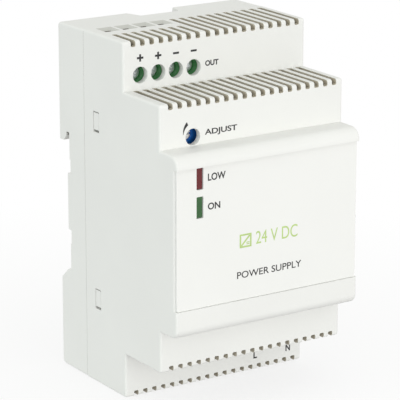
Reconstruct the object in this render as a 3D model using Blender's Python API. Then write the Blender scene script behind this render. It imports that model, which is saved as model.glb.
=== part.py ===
"""A three-module DIN rail power supply, modelled as its separate pieces.

Frame: X to the right, Y from the front to the rail, Z up, with the origin in the middle of the flat boss that
faces the rail's inside, on the rail's centre line. Dimensions are in millimetres, and placed() scales them to
metres. Depths are measured from the plane in which the rail's flanges rest, SEAT; the empty that carries every
piece stands BOSS_FACE in front of the origin, which brings the boss's face to it.
"""

import math

import bmesh
import bpy
from mathutils import Matrix, Vector

MM = 0.001

# Housing, seen from the front: three tiers, each as wide as three modules.
WIDTH = 53.0
TOP = 45.65
BOTTOM = -44.35
TIER2_TOP = 33.5
TIER2_BOTTOM = -33.0
NOSE_TOP = 22.5
NOSE_BOTTOM = -22.5
SIDE = WIDTH / 2

# Planes across the depth, from the rail forward.
BACK = 5.0
SEAT = 0.0
SEAM = -7.6
TIER1 = -26.2
TIER2 = -42.5
UPPER_LIP = -50.2
LOWER_LIP = -49.7
PLATE_FACE = -49.35
STRIP = -48.75

WALL = 1.6
GAP = 0.3
SEAM_GAP = 0.15
EDGE_RADIUS = 0.7
LIP_RADIUS = 3.0
NOSE_FOOT_RADIUS = 2.3
SIDE_ROUND = 0.6
BASE_SIDE_ROUND = 0.3
INNER_SIDE = SIDE - WALL

# Base: the rail's recess, the hook over its upper edge and the latch's guide under its lower one.
RAIL_HALF = 17.5
RAIL_PLAY = 0.5
HOOK_TIP = 15.5
HOOK_FRONT = 1.45
BOSS_FACE = 1.0
BOSS_HALF = 7.4
SEAT_START = 11.0
GROOVE = -0.4
BASE_FLOOR = -1.8
FOOT_BACK_WALL = 3.4
NOTCH_FRONT = -0.6
NOTCH_NARROW = 5.6
NOTCH_WIDE = 7.2
NOTCH_DEPTH = 6.0

# Latch: a slide that is pulled down against its spring.
LATCH_HALF = 5.8
LATCH_BACK = 4.8
LATCH_FRONT = 0.6
WING_HALF = 7.4
WING_BACK = 2.0
WING_TOP = -19.5
WING_BOTTOM = -35.7
LATCH_TRAVEL = 4.5
CHANNEL_FLOOR = 0.3
POCKET_HALF = 2.3
POCKET_BACK = 4.15
POCKET_TOP = -24.0
POCKET_BOTTOM = -35.2
SPRING_AXIS_Y = 2.35
SPRING_RADIUS = 1.35
SPRING_WIRE = 0.2
SPRING_TURNS = 6
SPRING_LOW = -33.4
SPRING_HIGH = -24.5

# Snap fit between cover and base.
SNAP_Y = (-14.65, -12.0)
SNAP_HALF = 2.6
SNAP_ARM_HALF = 4.0
SNAP_ARM = 1.2
TAB_RECESS = 0.45
SNAP_HEIGHTS = (23.45, -22.15)

# Vents: one row along each horizontal edge.
SLOT_COUNT = 19
SLOT_PITCH = 2.63
SLOT_WIDTH = 1.3
SLOT_SHIFT = 0.25
SLOT_NOTCH = 1.45
SHORT_SLOT_END = -17.2
LONG_SLOT_END = -9.3
UPPER_SHORT_SLOTS = 8
LOWER_SHORT_SLOTS = 7
RIB_SPLIT = 0.34

# Front plate, with a window for each lamp.
PLATE_TOP = 19.25
PLATE_BOTTOM = -15.65
PLATE_HALF = 26.1
PLATE_POCKET = 0.85
PLATE_LEDGE_X = 1.1
PLATE_LEDGE_Z = 0.75
LAMP_X = -19.6
LAMP_HEIGHTS = (16.3, 9.3)
LAMP_WIDTH = 1.7
LAMP_HEIGHT = 5.1

# Voltage trimmer behind the second tier.
TRIMMER_X = -17.15
TRIMMER_Z = 24.7
TRIMMER_HOLE = 2.05
TRIMMER_HALF = 3.4
TRIMMER_FACE = -38.9
ROTOR_RADIUS = 1.45

# Boards: the main one lies against the base, the small one carries lamps and trimmer.
BOARD_FRONT = -5.4
BOARD_BACK = -3.8
BOARD_HALF = 23.0
LAMP_BOARD_FRONT = -36.0
LAMP_BOARD_BACK = -34.8
ON_BOARD = BOARD_FRONT - GAP

# Terminals: rising-cage clamps, their screws facing the front and their wires entering from above or below.
POLE_PITCH = 5.08
FIRST_POLE_X = -21.65
INPUT_POLES = (12.04, 22.2)
POLE_INSET = 8.55
ENTRY_Y = -11.4
FUNNEL_HALF_X = 2.15
FUNNEL_HALF_Y = 2.45
FUNNEL_DEPTH = 0.7
ENTRY_HALF = 1.2
SCREW_HOLE = 2.05
BLOCK_FRONT = -24.3
BLOCK_INSET = 2.25
BLOCK_DEPTH = 11.0
BLOCK_MARGIN = 2.4
HEAD_SEAT = -21.4
CHAMBER_FRONT = -18.3
SCREW_HEAD_RADIUS = 1.8
SCREW_HEAD_FRONT = -23.1
SCREW_SHAFT_RADIUS = 1.2
SCREW_END = -13.0
CAGE_Y = (-14.6, -8.2)
CAGE_PLATE = 1.4
CAGE_HALF_X = 1.85
CAGE_HALF_Z = 3.0


# ---- shapes: each returns a bmesh that holds closed bodies ----


def prism(points, axis, low, high):
    """The outline `points` extruded along `axis`; they are given in the other two axes, in X, Y, Z order."""
    place = {
        "x": lambda a, b: (low, a, b),
        "y": lambda a, b: (a, low, b),
        "z": lambda a, b: (a, b, low),
    }[axis]
    shape = bmesh.new()
    face = shape.faces.new([shape.verts.new(place(a, b)) for a, b in points])
    grown = bmesh.ops.extrude_face_region(shape, geom=[face])["geom"]
    step = Vector([(high - low) * (axis == name) for name in "xyz"])
    bmesh.ops.translate(shape, vec=step, verts=[v for v in grown if isinstance(v, bmesh.types.BMVert)])
    bmesh.ops.recalc_face_normals(shape, faces=shape.faces)
    return shape


def box(x, y, z):
    """A box from its (low, high) pair on each axis."""
    return prism([(x[0], y[0]), (x[1], y[0]), (x[1], y[1]), (x[0], y[1])], "z", z[0], z[1])


def about(centre, half):
    return (centre - half, centre + half)


def cylinder(axis, centre, radius, low, high, segments=24, end_radius=None):
    """A cylinder, or a cone if end_radius is given, along `axis`; `centre` is in the other two axes."""
    turn = {
        "x": Matrix.Rotation(math.pi / 2, 4, "Y"),
        "y": Matrix.Rotation(-math.pi / 2, 4, "X"),
        "z": Matrix.Identity(4),
    }[axis]
    middle = (low + high) / 2
    a, b = centre
    at = {"x": (middle, a, b), "y": (a, middle, b), "z": (a, b, middle)}[axis]
    shape = bmesh.new()
    bmesh.ops.create_cone(
        shape,
        cap_ends=True,
        segments=segments,
        radius1=radius,
        radius2=radius if end_radius is None else end_radius,
        depth=high - low,
        matrix=Matrix.Translation(at) @ turn,
    )
    return shape


def turned(profile, centre, segments=24):
    """A solid turned about a line along Y through centre (x, z); profile is (radius, y) from end to end."""
    shape = bmesh.new()
    x, z = centre
    corners = [(0.0, profile[0][1]), *profile, (0.0, profile[-1][1])]
    verts = [shape.verts.new((x + radius, y, z)) for radius, y in corners]
    edges = [shape.edges.new(pair) for pair in zip(verts, verts[1:])]
    bmesh.ops.spin(
        shape,
        geom=verts + edges,
        cent=(x, 0, z),
        axis=(0, 1, 0),
        angle=math.tau,
        steps=segments,
        use_merge=True,
    )
    bmesh.ops.remove_doubles(shape, verts=shape.verts, dist=1e-4)
    bmesh.ops.recalc_face_normals(shape, faces=shape.faces)
    return shape


def together(shapes):
    """Several bodies that don't touch, in one bmesh."""
    whole = bmesh.new()
    for shape in shapes:
        mesh = bpy.data.meshes.new("part")
        shape.to_mesh(mesh)
        shape.free()
        whole.from_mesh(mesh)
        bpy.data.meshes.remove(mesh)
    return whole


def rounded(corners, steps=4):
    """The outline through (a, b, radius) corners, each turned into an arc of its radius."""
    points = []
    count = len(corners)
    for i, (a, b, radius) in enumerate(corners):
        here = Vector((a, b))
        if not radius:
            points.append(here)
            continue
        before = (Vector(corners[i - 1][:2]) - here).normalized()
        after = (Vector(corners[(i + 1) % count][:2]) - here).normalized()
        half = before.angle(after) / 2
        middle = here + (before + after).normalized() * (radius / math.sin(half))
        start = here + before * (radius / math.tan(half)) - middle
        end = here + after * (radius / math.tan(half)) - middle
        sweep = start.angle_signed(end)
        for k in range(steps + 1):
            turn = Matrix.Rotation(-sweep * k / steps, 2)
            points.append(middle + turn @ start)
    return points


def rounded_box(x, z, radius):
    """The outline of a rectangle with rounded corners, from its (low, high) pairs."""
    return rounded([(x[0], z[0], radius), (x[1], z[0], radius), (x[1], z[1], radius), (x[0], z[1], radius)])


def soften_sides(shape, width):
    """Rounds the edges round the two side faces, except those in the seam's plane."""
    edges = []
    for edge in shape.edges:
        a, b = (vert.co for vert in edge.verts)
        at_side = abs(abs(a.x) - SIDE) < 1e-3 and abs(a.x - b.x) < 1e-3
        at_seam = abs(a.y - SEAM) < 2 * SEAM_GAP and abs(b.y - SEAM) < 2 * SEAM_GAP
        if at_side and not at_seam:
            edges.append(edge)
    bmesh.ops.bevel(shape, geom=edges, offset=width, segments=2, profile=0.5, affect="EDGES")
    return shape


# ---- objects ----


def material(name, colour, roughness, metallic=0.0, transmission=0.0):
    made = bpy.data.materials.new(name)
    made.use_nodes = True
    shader = made.node_tree.nodes["Principled BSDF"]
    shader.inputs["Base Color"].default_value = (*colour, 1)
    shader.inputs["Roughness"].default_value = roughness
    shader.inputs["Metallic"].default_value = metallic
    shader.inputs["Transmission Weight"].default_value = transmission
    return made


def placed(name, shape, origin):
    """An object of the assembly that shows `shape`, its own origin at `origin`, scaled to metres."""
    bmesh.ops.translate(shape, vec=-Vector(origin), verts=shape.verts)
    bmesh.ops.scale(shape, vec=(MM, MM, MM), verts=shape.verts)
    mesh = bpy.data.meshes.new(name)
    shape.to_mesh(mesh)
    shape.free()
    obj = bpy.data.objects.new(name, mesh)
    obj.location = Vector(origin) * MM
    obj.parent = root
    bpy.context.scene.collection.objects.link(obj)
    return obj


def helper(name, shape):
    """A shape that only cuts other shapes or joins them."""
    obj = placed(name, shape, (0, 0, 0))
    obj.hide_render = True
    obj.display_type = "WIRE"
    return obj


def combine(obj, operation, tool):
    modifier = obj.modifiers.new(tool.name, "BOOLEAN")
    modifier.operation = operation
    modifier.solver = "EXACT"
    modifier.object = tool


def cut(obj, *shapes):
    for shape in shapes:
        combine(obj, "DIFFERENCE", helper(f"{obj.name}_cut_{len(obj.modifiers)}", shape))


def join(obj, *shapes):
    for shape in shapes:
        combine(obj, "UNION", helper(f"{obj.name}_join_{len(obj.modifiers)}", shape))


def piece(name, shape, look, joins=(), cuts=(), origin=(0, 0, 0)):
    """One physical piece: a shape, with others joined to it and then cut from it."""
    obj = placed(name, shape, origin)
    obj.data.materials.append(look)
    join(obj, *joins)
    cut(obj, *cuts)
    return obj


def shade_round(obj):
    obj.data.shade_smooth()
    obj.data.set_sharp_from_angle(angle=math.radians(35))


# ---- housing ----


def notch(low, high):
    """The wedge cut from the back of the base, at its top and at its bottom."""
    beyond = BACK + 2
    spread = (NOTCH_WIDE - NOTCH_NARROW) / (BACK - NOTCH_FRONT) * (beyond - NOTCH_FRONT)
    wide = NOTCH_NARROW + spread
    outline = [(-NOTCH_NARROW, NOTCH_FRONT), (NOTCH_NARROW, NOTCH_FRONT), (wide, beyond), (-wide, beyond)]
    return prism(outline, "z", low, high)


def snap_arm(side, height):
    """An arm of the base that reaches into the cover, with the tab that fills a window of the cover."""
    inner = INNER_SIDE - GAP - SNAP_ARM
    outer = INNER_SIDE - GAP
    front, back = SNAP_Y
    outline = [
        (inner, BASE_FLOOR + 0.5),
        (inner, front - 0.6),
        (outer, front - 0.6),
        (outer, front + GAP),
        (SIDE - TAB_RECESS, back - GAP - 1.0),
        (SIDE - TAB_RECESS, back - GAP),
        (outer, back - GAP),
        (outer, SEAM + 0.6),
        (INNER_SIDE + 0.5, SEAM + 0.6),
        (INNER_SIDE + 0.5, BASE_FLOOR + 0.5),
    ]
    tab = prism([(side * x, y) for x, y in outline], "z", *about(height, SNAP_HALF - 0.5))
    leaf = box(
        sorted((side * inner, side * outer)),
        (front - 0.6, SEAM + 1.2),
        about(height, SNAP_ARM_HALF),
    )
    root_block = box(
        sorted((side * (inner + 0.1), side * (INNER_SIDE + 0.4))),
        (SEAM + 0.7, BASE_FLOOR + 0.4),
        about(height, SNAP_ARM_HALF - 0.1),
    )
    return tab, leaf, root_block


def rear_base():
    back_top = TOP - 0.6
    outline = rounded(
        [
            (SEAM + SEAM_GAP / 2, TOP - 0.1, 0),
            (SEAM + SEAM_GAP / 2, BOTTOM + 0.1, 0),
            (BACK, BOTTOM + 0.3, 0.9),
            (BACK, -(RAIL_HALF + RAIL_PLAY) - 3.2, 0),
            (1.3, -(RAIL_HALF + RAIL_PLAY), 0),
            (SEAT, -(RAIL_HALF + RAIL_PLAY), 0),
            (SEAT, -SEAT_START, 0),
            (GROOVE, -SEAT_START, 0),
            (GROOVE, -BOSS_HALF, 0),
            (BOSS_FACE, -BOSS_HALF, 0),
            (BOSS_FACE, BOSS_HALF, 0),
            (GROOVE, BOSS_HALF, 0),
            (GROOVE, SEAT_START, 0),
            (SEAT, SEAT_START, 0),
            (SEAT, RAIL_HALF + RAIL_PLAY, 0),
            (HOOK_FRONT, RAIL_HALF + RAIL_PLAY, 0),
            (HOOK_FRONT, HOOK_TIP + 1.4, 0),
            (HOOK_FRONT + 1.3, HOOK_TIP, 0),
            (BACK, HOOK_TIP, 0.5),
            (BACK, back_top, 0.4),
        ],
        steps=3,
    )
    shell = soften_sides(prism(outline, "x", -SIDE, SIDE), BASE_SIDE_ROUND)

    inner_top = TOP - WALL
    inner_bottom = BOTTOM + WALL
    cavity = box((-INNER_SIDE, INNER_SIDE), (SEAM - 5, BASE_FLOOR), (inner_bottom, inner_top))
    foot = (BASE_FLOOR - 1, FOOT_BACK_WALL)
    beside_notch = NOTCH_WIDE + WALL
    above_hook = RAIL_HALF + RAIL_PLAY + WALL
    below_notch = TOP - NOTCH_DEPTH - WALL
    upper_pockets = together(
        [
            box((-INNER_SIDE, -beside_notch), foot, (above_hook, inner_top - 0.7)),
            box((beside_notch, INNER_SIDE), foot, (above_hook, inner_top - 0.7)),
            box((-beside_notch + 1, beside_notch - 1), foot, (above_hook, below_notch)),
        ]
    )
    beside_channel = WING_HALF + GAP + WALL
    lower_pockets = together(
        [
            box(side, foot, (inner_bottom + 0.4, -(RAIL_HALF + RAIL_PLAY) - 5.5))
            for side in ((-INNER_SIDE, -beside_channel), (beside_channel, INNER_SIDE))
        ]
    )
    open_end = 3.0
    guide = box(
        about(0, LATCH_HALF + GAP),
        (CHANNEL_FLOOR, BACK + open_end),
        (BOTTOM - open_end, -RAIL_HALF + open_end),
    )
    wing_room = box(
        about(0, WING_HALF + GAP),
        (CHANNEL_FLOOR, WING_BACK + GAP),
        (WING_BOTTOM - LATCH_TRAVEL - GAP, WING_TOP + GAP),
    )
    ledge = box(
        about(0, POCKET_HALF - GAP),
        (CHANNEL_FLOOR - 0.5, POCKET_BACK - GAP),
        (POCKET_BOTTOM + GAP, SPRING_LOW - SPRING_WIRE - GAP),
    )

    board_ribs = [
        box(about(x, 0.8), (BOARD_BACK + GAP, BASE_FLOOR + 0.5), (-40.0, 40.0)) for x in (-18.0, 18.0)
    ]
    arms = [shape for side in (-1, 1) for z in SNAP_HEIGHTS for shape in snap_arm(side, z)]
    upper_notch = notch(TOP - NOTCH_DEPTH, TOP + open_end)
    lower_notch = notch(BOTTOM - open_end, BOTTOM + NOTCH_DEPTH)
    base = piece("rear_base", shell, looks["housing"])
    cut(base, cavity, upper_pockets, lower_pockets, guide, wing_room, upper_notch, lower_notch)
    join(base, ledge, *board_ribs, *arms)


def slot_centres(split):
    """The slots' X positions; `split` widens the rib between the short slots and the long ones."""
    for i in range(SLOT_COUNT):
        x = (i - SLOT_COUNT // 2) * SLOT_PITCH + SLOT_SHIFT
        yield x + (split / 2 if i >= UPPER_SHORT_SLOTS else -split / 2)


def vent_row(face, edge, ends, split=0.0):
    """Slots through a tier's horizontal wall, which also notch its front edge.

    `face` is the tier's front plane, `edge` the wall's outer height, and `ends` gives each slot's rear end.
    """
    out = 1 if edge > 0 else -1
    beyond = 2.0
    shapes = []
    for x, end in zip(slot_centres(split), ends):
        outline = [
            (face - beyond, edge + out * beyond),
            (face - beyond, edge - out * SLOT_NOTCH),
            (face + WALL - 0.3, edge - out * SLOT_NOTCH),
            (face + WALL - 0.3, edge - out * (WALL + beyond / 2)),
            (end, edge - out * (WALL + beyond / 2)),
            (end, edge + out * beyond),
        ]
        shapes.append(prism(outline, "x", *about(x, SLOT_WIDTH / 2)))
    return together(shapes)


def wire_entry(x, edge):
    """A terminal's square wire entry through the wall, and the shallow funnel that leads to it."""
    out = 1 if edge > 0 else -1
    above = 0.5
    spread = above / FUNNEL_DEPTH
    sides = sorted((edge + out * above, edge - out * FUNNEL_DEPTH))
    funnel = box(about(x, 1), about(ENTRY_Y, 1), sides)
    for vert in funnel.verts:
        outside = abs(vert.co.z) > abs(edge)
        half_x = FUNNEL_HALF_X + (FUNNEL_HALF_X - ENTRY_HALF) * spread if outside else ENTRY_HALF
        half_y = FUNNEL_HALF_Y + (FUNNEL_HALF_Y - ENTRY_HALF) * spread if outside else ENTRY_HALF
        vert.co.x = x + (vert.co.x - x) * half_x
        vert.co.y = ENTRY_Y + (vert.co.y - ENTRY_Y) * half_y
    depths = sorted((edge - out * (FUNNEL_DEPTH - 0.1), edge - out * (WALL + 0.4)))
    entry = box(about(x, ENTRY_HALF - 0.01), about(ENTRY_Y, ENTRY_HALF - 0.01), depths)
    return funnel, entry


def output_poles():
    return [FIRST_POLE_X + i * POLE_PITCH for i in range(4)]


def front_cover():
    outline = rounded(
        [
            (SEAM - SEAM_GAP / 2, TOP, 0),
            (TIER1, TOP, EDGE_RADIUS),
            (TIER1, TIER2_TOP, 0),
            (TIER2, TIER2_TOP, EDGE_RADIUS),
            (TIER2, NOSE_TOP, 0),
            (UPPER_LIP, NOSE_TOP, LIP_RADIUS),
            (UPPER_LIP, PLATE_TOP, 0),
            (STRIP, PLATE_TOP, 0),
            (STRIP, PLATE_BOTTOM, 0),
            (LOWER_LIP, PLATE_BOTTOM, 0),
            (LOWER_LIP, NOSE_BOTTOM, NOSE_FOOT_RADIUS),
            (TIER2, NOSE_BOTTOM, 0),
            (TIER2, TIER2_BOTTOM, EDGE_RADIUS),
            (TIER1, TIER2_BOTTOM, 0),
            (TIER1, BOTTOM, EDGE_RADIUS),
            (SEAM - SEAM_GAP / 2, BOTTOM, 0),
        ]
    )
    shell = soften_sides(prism(outline, "x", -SIDE, SIDE), SIDE_ROUND)

    pocket_floor = STRIP + PLATE_POCKET
    cavity = prism(
        [
            (SEAM + 3, TOP - WALL),
            (TIER1 + WALL, TOP - WALL),
            (TIER1 + WALL, TIER2_TOP - WALL),
            (TIER2 + WALL, TIER2_TOP - WALL),
            (TIER2 + WALL, NOSE_TOP - WALL),
            (pocket_floor + WALL, NOSE_TOP - WALL),
            (pocket_floor + WALL, NOSE_BOTTOM + WALL),
            (TIER2 + WALL, NOSE_BOTTOM + WALL),
            (TIER2 + WALL, TIER2_BOTTOM + WALL),
            (TIER1 + WALL, TIER2_BOTTOM + WALL),
            (TIER1 + WALL, BOTTOM + WALL),
            (SEAM + 3, BOTTOM + WALL),
        ],
        "x",
        -INNER_SIDE,
        INNER_SIDE,
    )
    pocket = box(
        about(0, PLATE_HALF - PLATE_LEDGE_X),
        (STRIP - 0.5, pocket_floor),
        (PLATE_BOTTOM + PLATE_LEDGE_Z, PLATE_TOP - PLATE_LEDGE_Z),
    )

    upper_ends = [SHORT_SLOT_END] * UPPER_SHORT_SLOTS + [LONG_SLOT_END] * (SLOT_COUNT - UPPER_SHORT_SLOTS)
    lower_ends = [LONG_SLOT_END] * (SLOT_COUNT - LOWER_SHORT_SLOTS) + [SHORT_SLOT_END] * LOWER_SHORT_SLOTS
    tier2_ends = [TIER1 - 0.4] * SLOT_COUNT
    through = 3.0
    upper_z = TOP - POLE_INSET
    lower_z = BOTTOM + POLE_INSET
    holes = [
        cylinder("y", (x, upper_z), SCREW_HOLE, TIER1 - 1, TIER1 + through) for x in output_poles()
    ]
    holes += [cylinder("y", (x, lower_z), SCREW_HOLE, TIER1 - 1, TIER1 + through) for x in INPUT_POLES]
    holes.append(
        cylinder("y", (TRIMMER_X, TRIMMER_Z), TRIMMER_HOLE, TIER2 - 1, TIER2 + through)
    )
    holes += [
        box(about(LAMP_X, LAMP_WIDTH / 2 + GAP), (STRIP - 1, STRIP + 4), about(z, LAMP_HEIGHT / 2 + GAP))
        for z in LAMP_HEIGHTS
    ]
    holes += [
        box(sorted((side * (SIDE - 3), side * (SIDE + 1))), SNAP_Y, about(z, SNAP_HALF))
        for side in (-1, 1)
        for z in SNAP_HEIGHTS
    ]
    funnels, entries = zip(
        *[wire_entry(x, TOP) for x in output_poles()], *[wire_entry(x, BOTTOM) for x in INPUT_POLES]
    )
    piece(
        "front_cover",
        shell,
        looks["housing"],
        cuts=[
            cavity,
            pocket,
            vent_row(TIER1, TOP, upper_ends, split=RIB_SPLIT),
            vent_row(TIER2, TIER2_TOP, tier2_ends),
            vent_row(TIER2, TIER2_BOTTOM, tier2_ends),
            vent_row(TIER1, BOTTOM, lower_ends),
            together(holes),
            together(funnels),
            together(entries),
        ],
    )


def front_plate():
    edge = 0.1
    shell = box(
        about(0, PLATE_HALF),
        (PLATE_FACE, STRIP - SEAM_GAP),
        (PLATE_BOTTOM + edge, PLATE_TOP - edge),
    )
    pad = box(
        about(0, PLATE_HALF - PLATE_LEDGE_X - GAP),
        (STRIP - SEAM_GAP - 0.2, STRIP + PLATE_POCKET - GAP),
        (PLATE_BOTTOM + PLATE_LEDGE_Z + GAP, PLATE_TOP - PLATE_LEDGE_Z - GAP),
    )
    across = about(LAMP_X, LAMP_WIDTH / 2 + edge)
    through = (PLATE_FACE - 1, STRIP + 2)
    windows = together([box(across, through, about(z, LAMP_HEIGHT / 2 + edge)) for z in LAMP_HEIGHTS])
    piece("front_plate", shell, looks["plate"], joins=[pad], cuts=[windows])


# ---- rail latch ----


def rail_latch():
    tip = -RAIL_HALF + 1.8
    outline = [
        (LATCH_FRONT, -(RAIL_HALF + RAIL_PLAY)),
        (HOOK_FRONT, -(RAIL_HALF + RAIL_PLAY)),
        (HOOK_FRONT, tip),
        (HOOK_FRONT + 0.6, tip),
        (LATCH_BACK, tip - 3.4),
        (LATCH_BACK, BOTTOM + 0.15),
        (LATCH_FRONT, BOTTOM + 0.15),
    ]
    wings = box(about(0, WING_HALF), (LATCH_FRONT, WING_BACK), (WING_BOTTOM, WING_TOP))
    pocket = box(about(0, POCKET_HALF), (LATCH_FRONT - 1, POCKET_BACK), (POCKET_BOTTOM, POCKET_TOP))
    pull_slot = box(about(0, 2.5), (LATCH_FRONT - 1, LATCH_BACK + 1), (BOTTOM + 1.9, BOTTOM + 3.6))
    piece(
        "rail_latch",
        prism(outline, "x", -LATCH_HALF, LATCH_HALF),
        looks["latch"],
        joins=[wings],
        cuts=[pocket, pull_slot],
        origin=(0, SPRING_AXIS_Y, -RAIL_HALF),
    )


def latch_spring():
    """A compression spring between the base's ledge and the top of the latch's pocket."""
    curve = bpy.data.curves.new("latch_spring", "CURVE")
    curve.dimensions = "3D"
    curve.bevel_depth = SPRING_WIRE * MM
    curve.bevel_resolution = 0
    curve.use_fill_caps = True
    per_turn = 12
    count = SPRING_TURNS * per_turn + 1
    coil = curve.splines.new("POLY")
    coil.points.add(count - 1)
    length = SPRING_HIGH - SPRING_LOW
    for k, point in enumerate(coil.points):
        angle = math.tau * k / per_turn
        x = SPRING_RADIUS * math.cos(angle)
        y = SPRING_RADIUS * math.sin(angle)
        point.co = (x * MM, y * MM, length * k / (count - 1) * MM, 1)
    curve.materials.append(looks["steel"])
    obj = bpy.data.objects.new("latch_spring", curve)
    obj.location = (0, SPRING_AXIS_Y * MM, SPRING_LOW * MM)
    obj.parent = root
    bpy.context.scene.collection.objects.link(obj)


# ---- terminals ----


def terminal_block(name, poles, edge):
    """A block whose screws face the front and whose wires enter through the face next to `edge`."""
    out = 1 if edge > 0 else -1
    mouth = edge - out * BLOCK_INSET
    z = sorted((mouth, mouth - out * BLOCK_DEPTH))
    screw_z = edge - out * POLE_INSET
    body = box((poles[0] - BLOCK_MARGIN, poles[-1] + BLOCK_MARGIN), (BLOCK_FRONT, ON_BOARD), z)
    bores = [cylinder("y", (x, screw_z), SCREW_HOLE, BLOCK_FRONT - 1, HEAD_SEAT) for x in poles]
    shafts = [
        cylinder("y", (x, screw_z), SCREW_SHAFT_RADIUS + GAP, HEAD_SEAT - 1, CHAMBER_FRONT + 1, 16)
        for x in poles
    ]
    chambers = [
        box(
            about(x, CAGE_HALF_X + GAP),
            (CHAMBER_FRONT, ON_BOARD + 1),
            about(screw_z, CAGE_HALF_Z + GAP),
        )
        for x in poles
    ]
    entries = [
        box(about(x, 1.6), about(ENTRY_Y, 1.8), sorted((screw_z + out * CAGE_HALF_Z, mouth + out)))
        for x in poles
    ]
    cuts = [together(group) for group in (bores, shafts, chambers, entries)]
    piece(name, body, looks["terminal"], cuts=cuts)


def terminal_screw(name, x, z):
    head = cylinder("y", (x, z), SCREW_HEAD_RADIUS, SCREW_HEAD_FRONT, HEAD_SEAT - GAP)
    shaft = cylinder("y", (x, z), SCREW_SHAFT_RADIUS, HEAD_SEAT - GAP - 0.4, SCREW_END, 16)
    slot = box(about(x, 3), (SCREW_HEAD_FRONT - 1, SCREW_HEAD_FRONT + 0.8), about(z, 0.3))
    middle = (x, SCREW_HEAD_FRONT, z)
    shade_round(piece(name, head, looks["steel"], joins=[shaft], cuts=[slot], origin=middle))


def wire_clamp(name, x, z):
    """A cage: its threaded plate rides on the screw, and its lower bar lifts the wire."""
    front, back = CAGE_Y
    body = box(about(x, CAGE_HALF_X), CAGE_Y, about(z, CAGE_HALF_Z))
    window = box(about(x, CAGE_HALF_X - 0.45), (front + CAGE_PLATE, back - 1.3), about(z, CAGE_HALF_Z + 1))
    thread = cylinder("y", (x, z), SCREW_SHAFT_RADIUS + GAP, front - 1, front + CAGE_PLATE + 0.5, 16)
    piece(name, body, looks["brass"], cuts=[window, thread], origin=(x, (front + back) / 2, z))


def terminals():
    rows = (("output", output_poles(), TOP), ("input", list(INPUT_POLES), BOTTOM))
    for name, poles, edge in rows:
        terminal_block(f"{name}_terminal_block", poles, edge)
        z = edge - math.copysign(POLE_INSET, edge)
        for number, x in enumerate(poles, start=1):
            terminal_screw(f"{name}_screw_{number}", x, z)
            wire_clamp(f"{name}_clamp_{number}", x, z)


# ---- lamps, trimmer and boards ----


def lamp(name, z):
    body = turned(
        [(1.5, -40.4), (1.5, -37.2), (1.8, -37.2), (1.8, LAMP_BOARD_FRONT - GAP)],
        (LAMP_X, z),
        segments=20,
    )
    shade_round(piece(f"{name}_led", body, looks[f"{name}_lens"]))
    stem = box(about(LAMP_X, LAMP_WIDTH / 2), (PLATE_FACE + 0.4, -40.9), about(z, LAMP_HEIGHT / 2))
    flange = box(about(LAMP_X, 1.8), (STRIP + PLATE_POCKET + WALL + GAP, -44.6), about(z, 3.2))
    piece(f"{name}_light_pipe", stem, looks[f"{name}_lens"], joins=[flange])


def trimmer():
    centre = (TRIMMER_X, TRIMMER_Z)
    body = box(
        about(TRIMMER_X, TRIMMER_HALF),
        (TRIMMER_FACE, LAMP_BOARD_FRONT - GAP),
        about(TRIMMER_Z, TRIMMER_HALF),
    )
    well = cylinder("y", centre, ROTOR_RADIUS + GAP, TRIMMER_FACE - 1, TRIMMER_FACE + 1.6)
    shade_round(piece("trimmer_body", body, looks["trimmer"], cuts=[well]))
    rotor_face = TRIMMER_FACE - 0.15
    rotor = cylinder("y", centre, ROTOR_RADIUS, rotor_face, TRIMMER_FACE + 1.3)
    slot = box(about(TRIMMER_X, 2.5), (rotor_face - 1, rotor_face + 0.7), about(TRIMMER_Z, 0.28))
    origin = (TRIMMER_X, rotor_face, TRIMMER_Z)
    shade_round(piece("trimmer_rotor", rotor, looks["rotor"], cuts=[slot], origin=origin))


def boards():
    board = box(about(0, BOARD_HALF), (BOARD_FRONT, BOARD_BACK), (-42.2, 43.5))
    piece("main_board", board, looks["board"])
    small = box((-23.5, -6.0), (LAMP_BOARD_FRONT, LAMP_BOARD_BACK), (4.0, 30.2))
    piece("lamp_board", small, looks["board"])
    strip = box(about(-21.9, 1.2), (LAMP_BOARD_BACK + GAP, -32.0), (4.8, 15.2))
    pins = [box(about(-21.9, 0.32), (-32.5, ON_BOARD), about(6.2 + 2.54 * i, 0.32)) for i in range(4)]
    piece("board_header", strip, looks["black_plastic"], joins=[together(pins)])


# ---- parts on the main board ----


def e_core(x, z, back, out):
    """One ferrite E: its back in the plane y = back, its legs pointing along `out`."""
    height, spine, half, leg, centre_leg = 12.4, 3.3, 12.5, 3.4, 3.6
    outline = [
        (-half, 0),
        (half, 0),
        (half, height),
        (half - leg, height),
        (half - leg, spine),
        (centre_leg, spine),
        (centre_leg, height),
        (-centre_leg, height),
        (-centre_leg, spine),
        (leg - half, spine),
        (leg - half, height),
        (-half, height),
    ]
    return prism([(x + a, back + out * b) for a, b in outline], "z", *about(z, 3.6))


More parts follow.
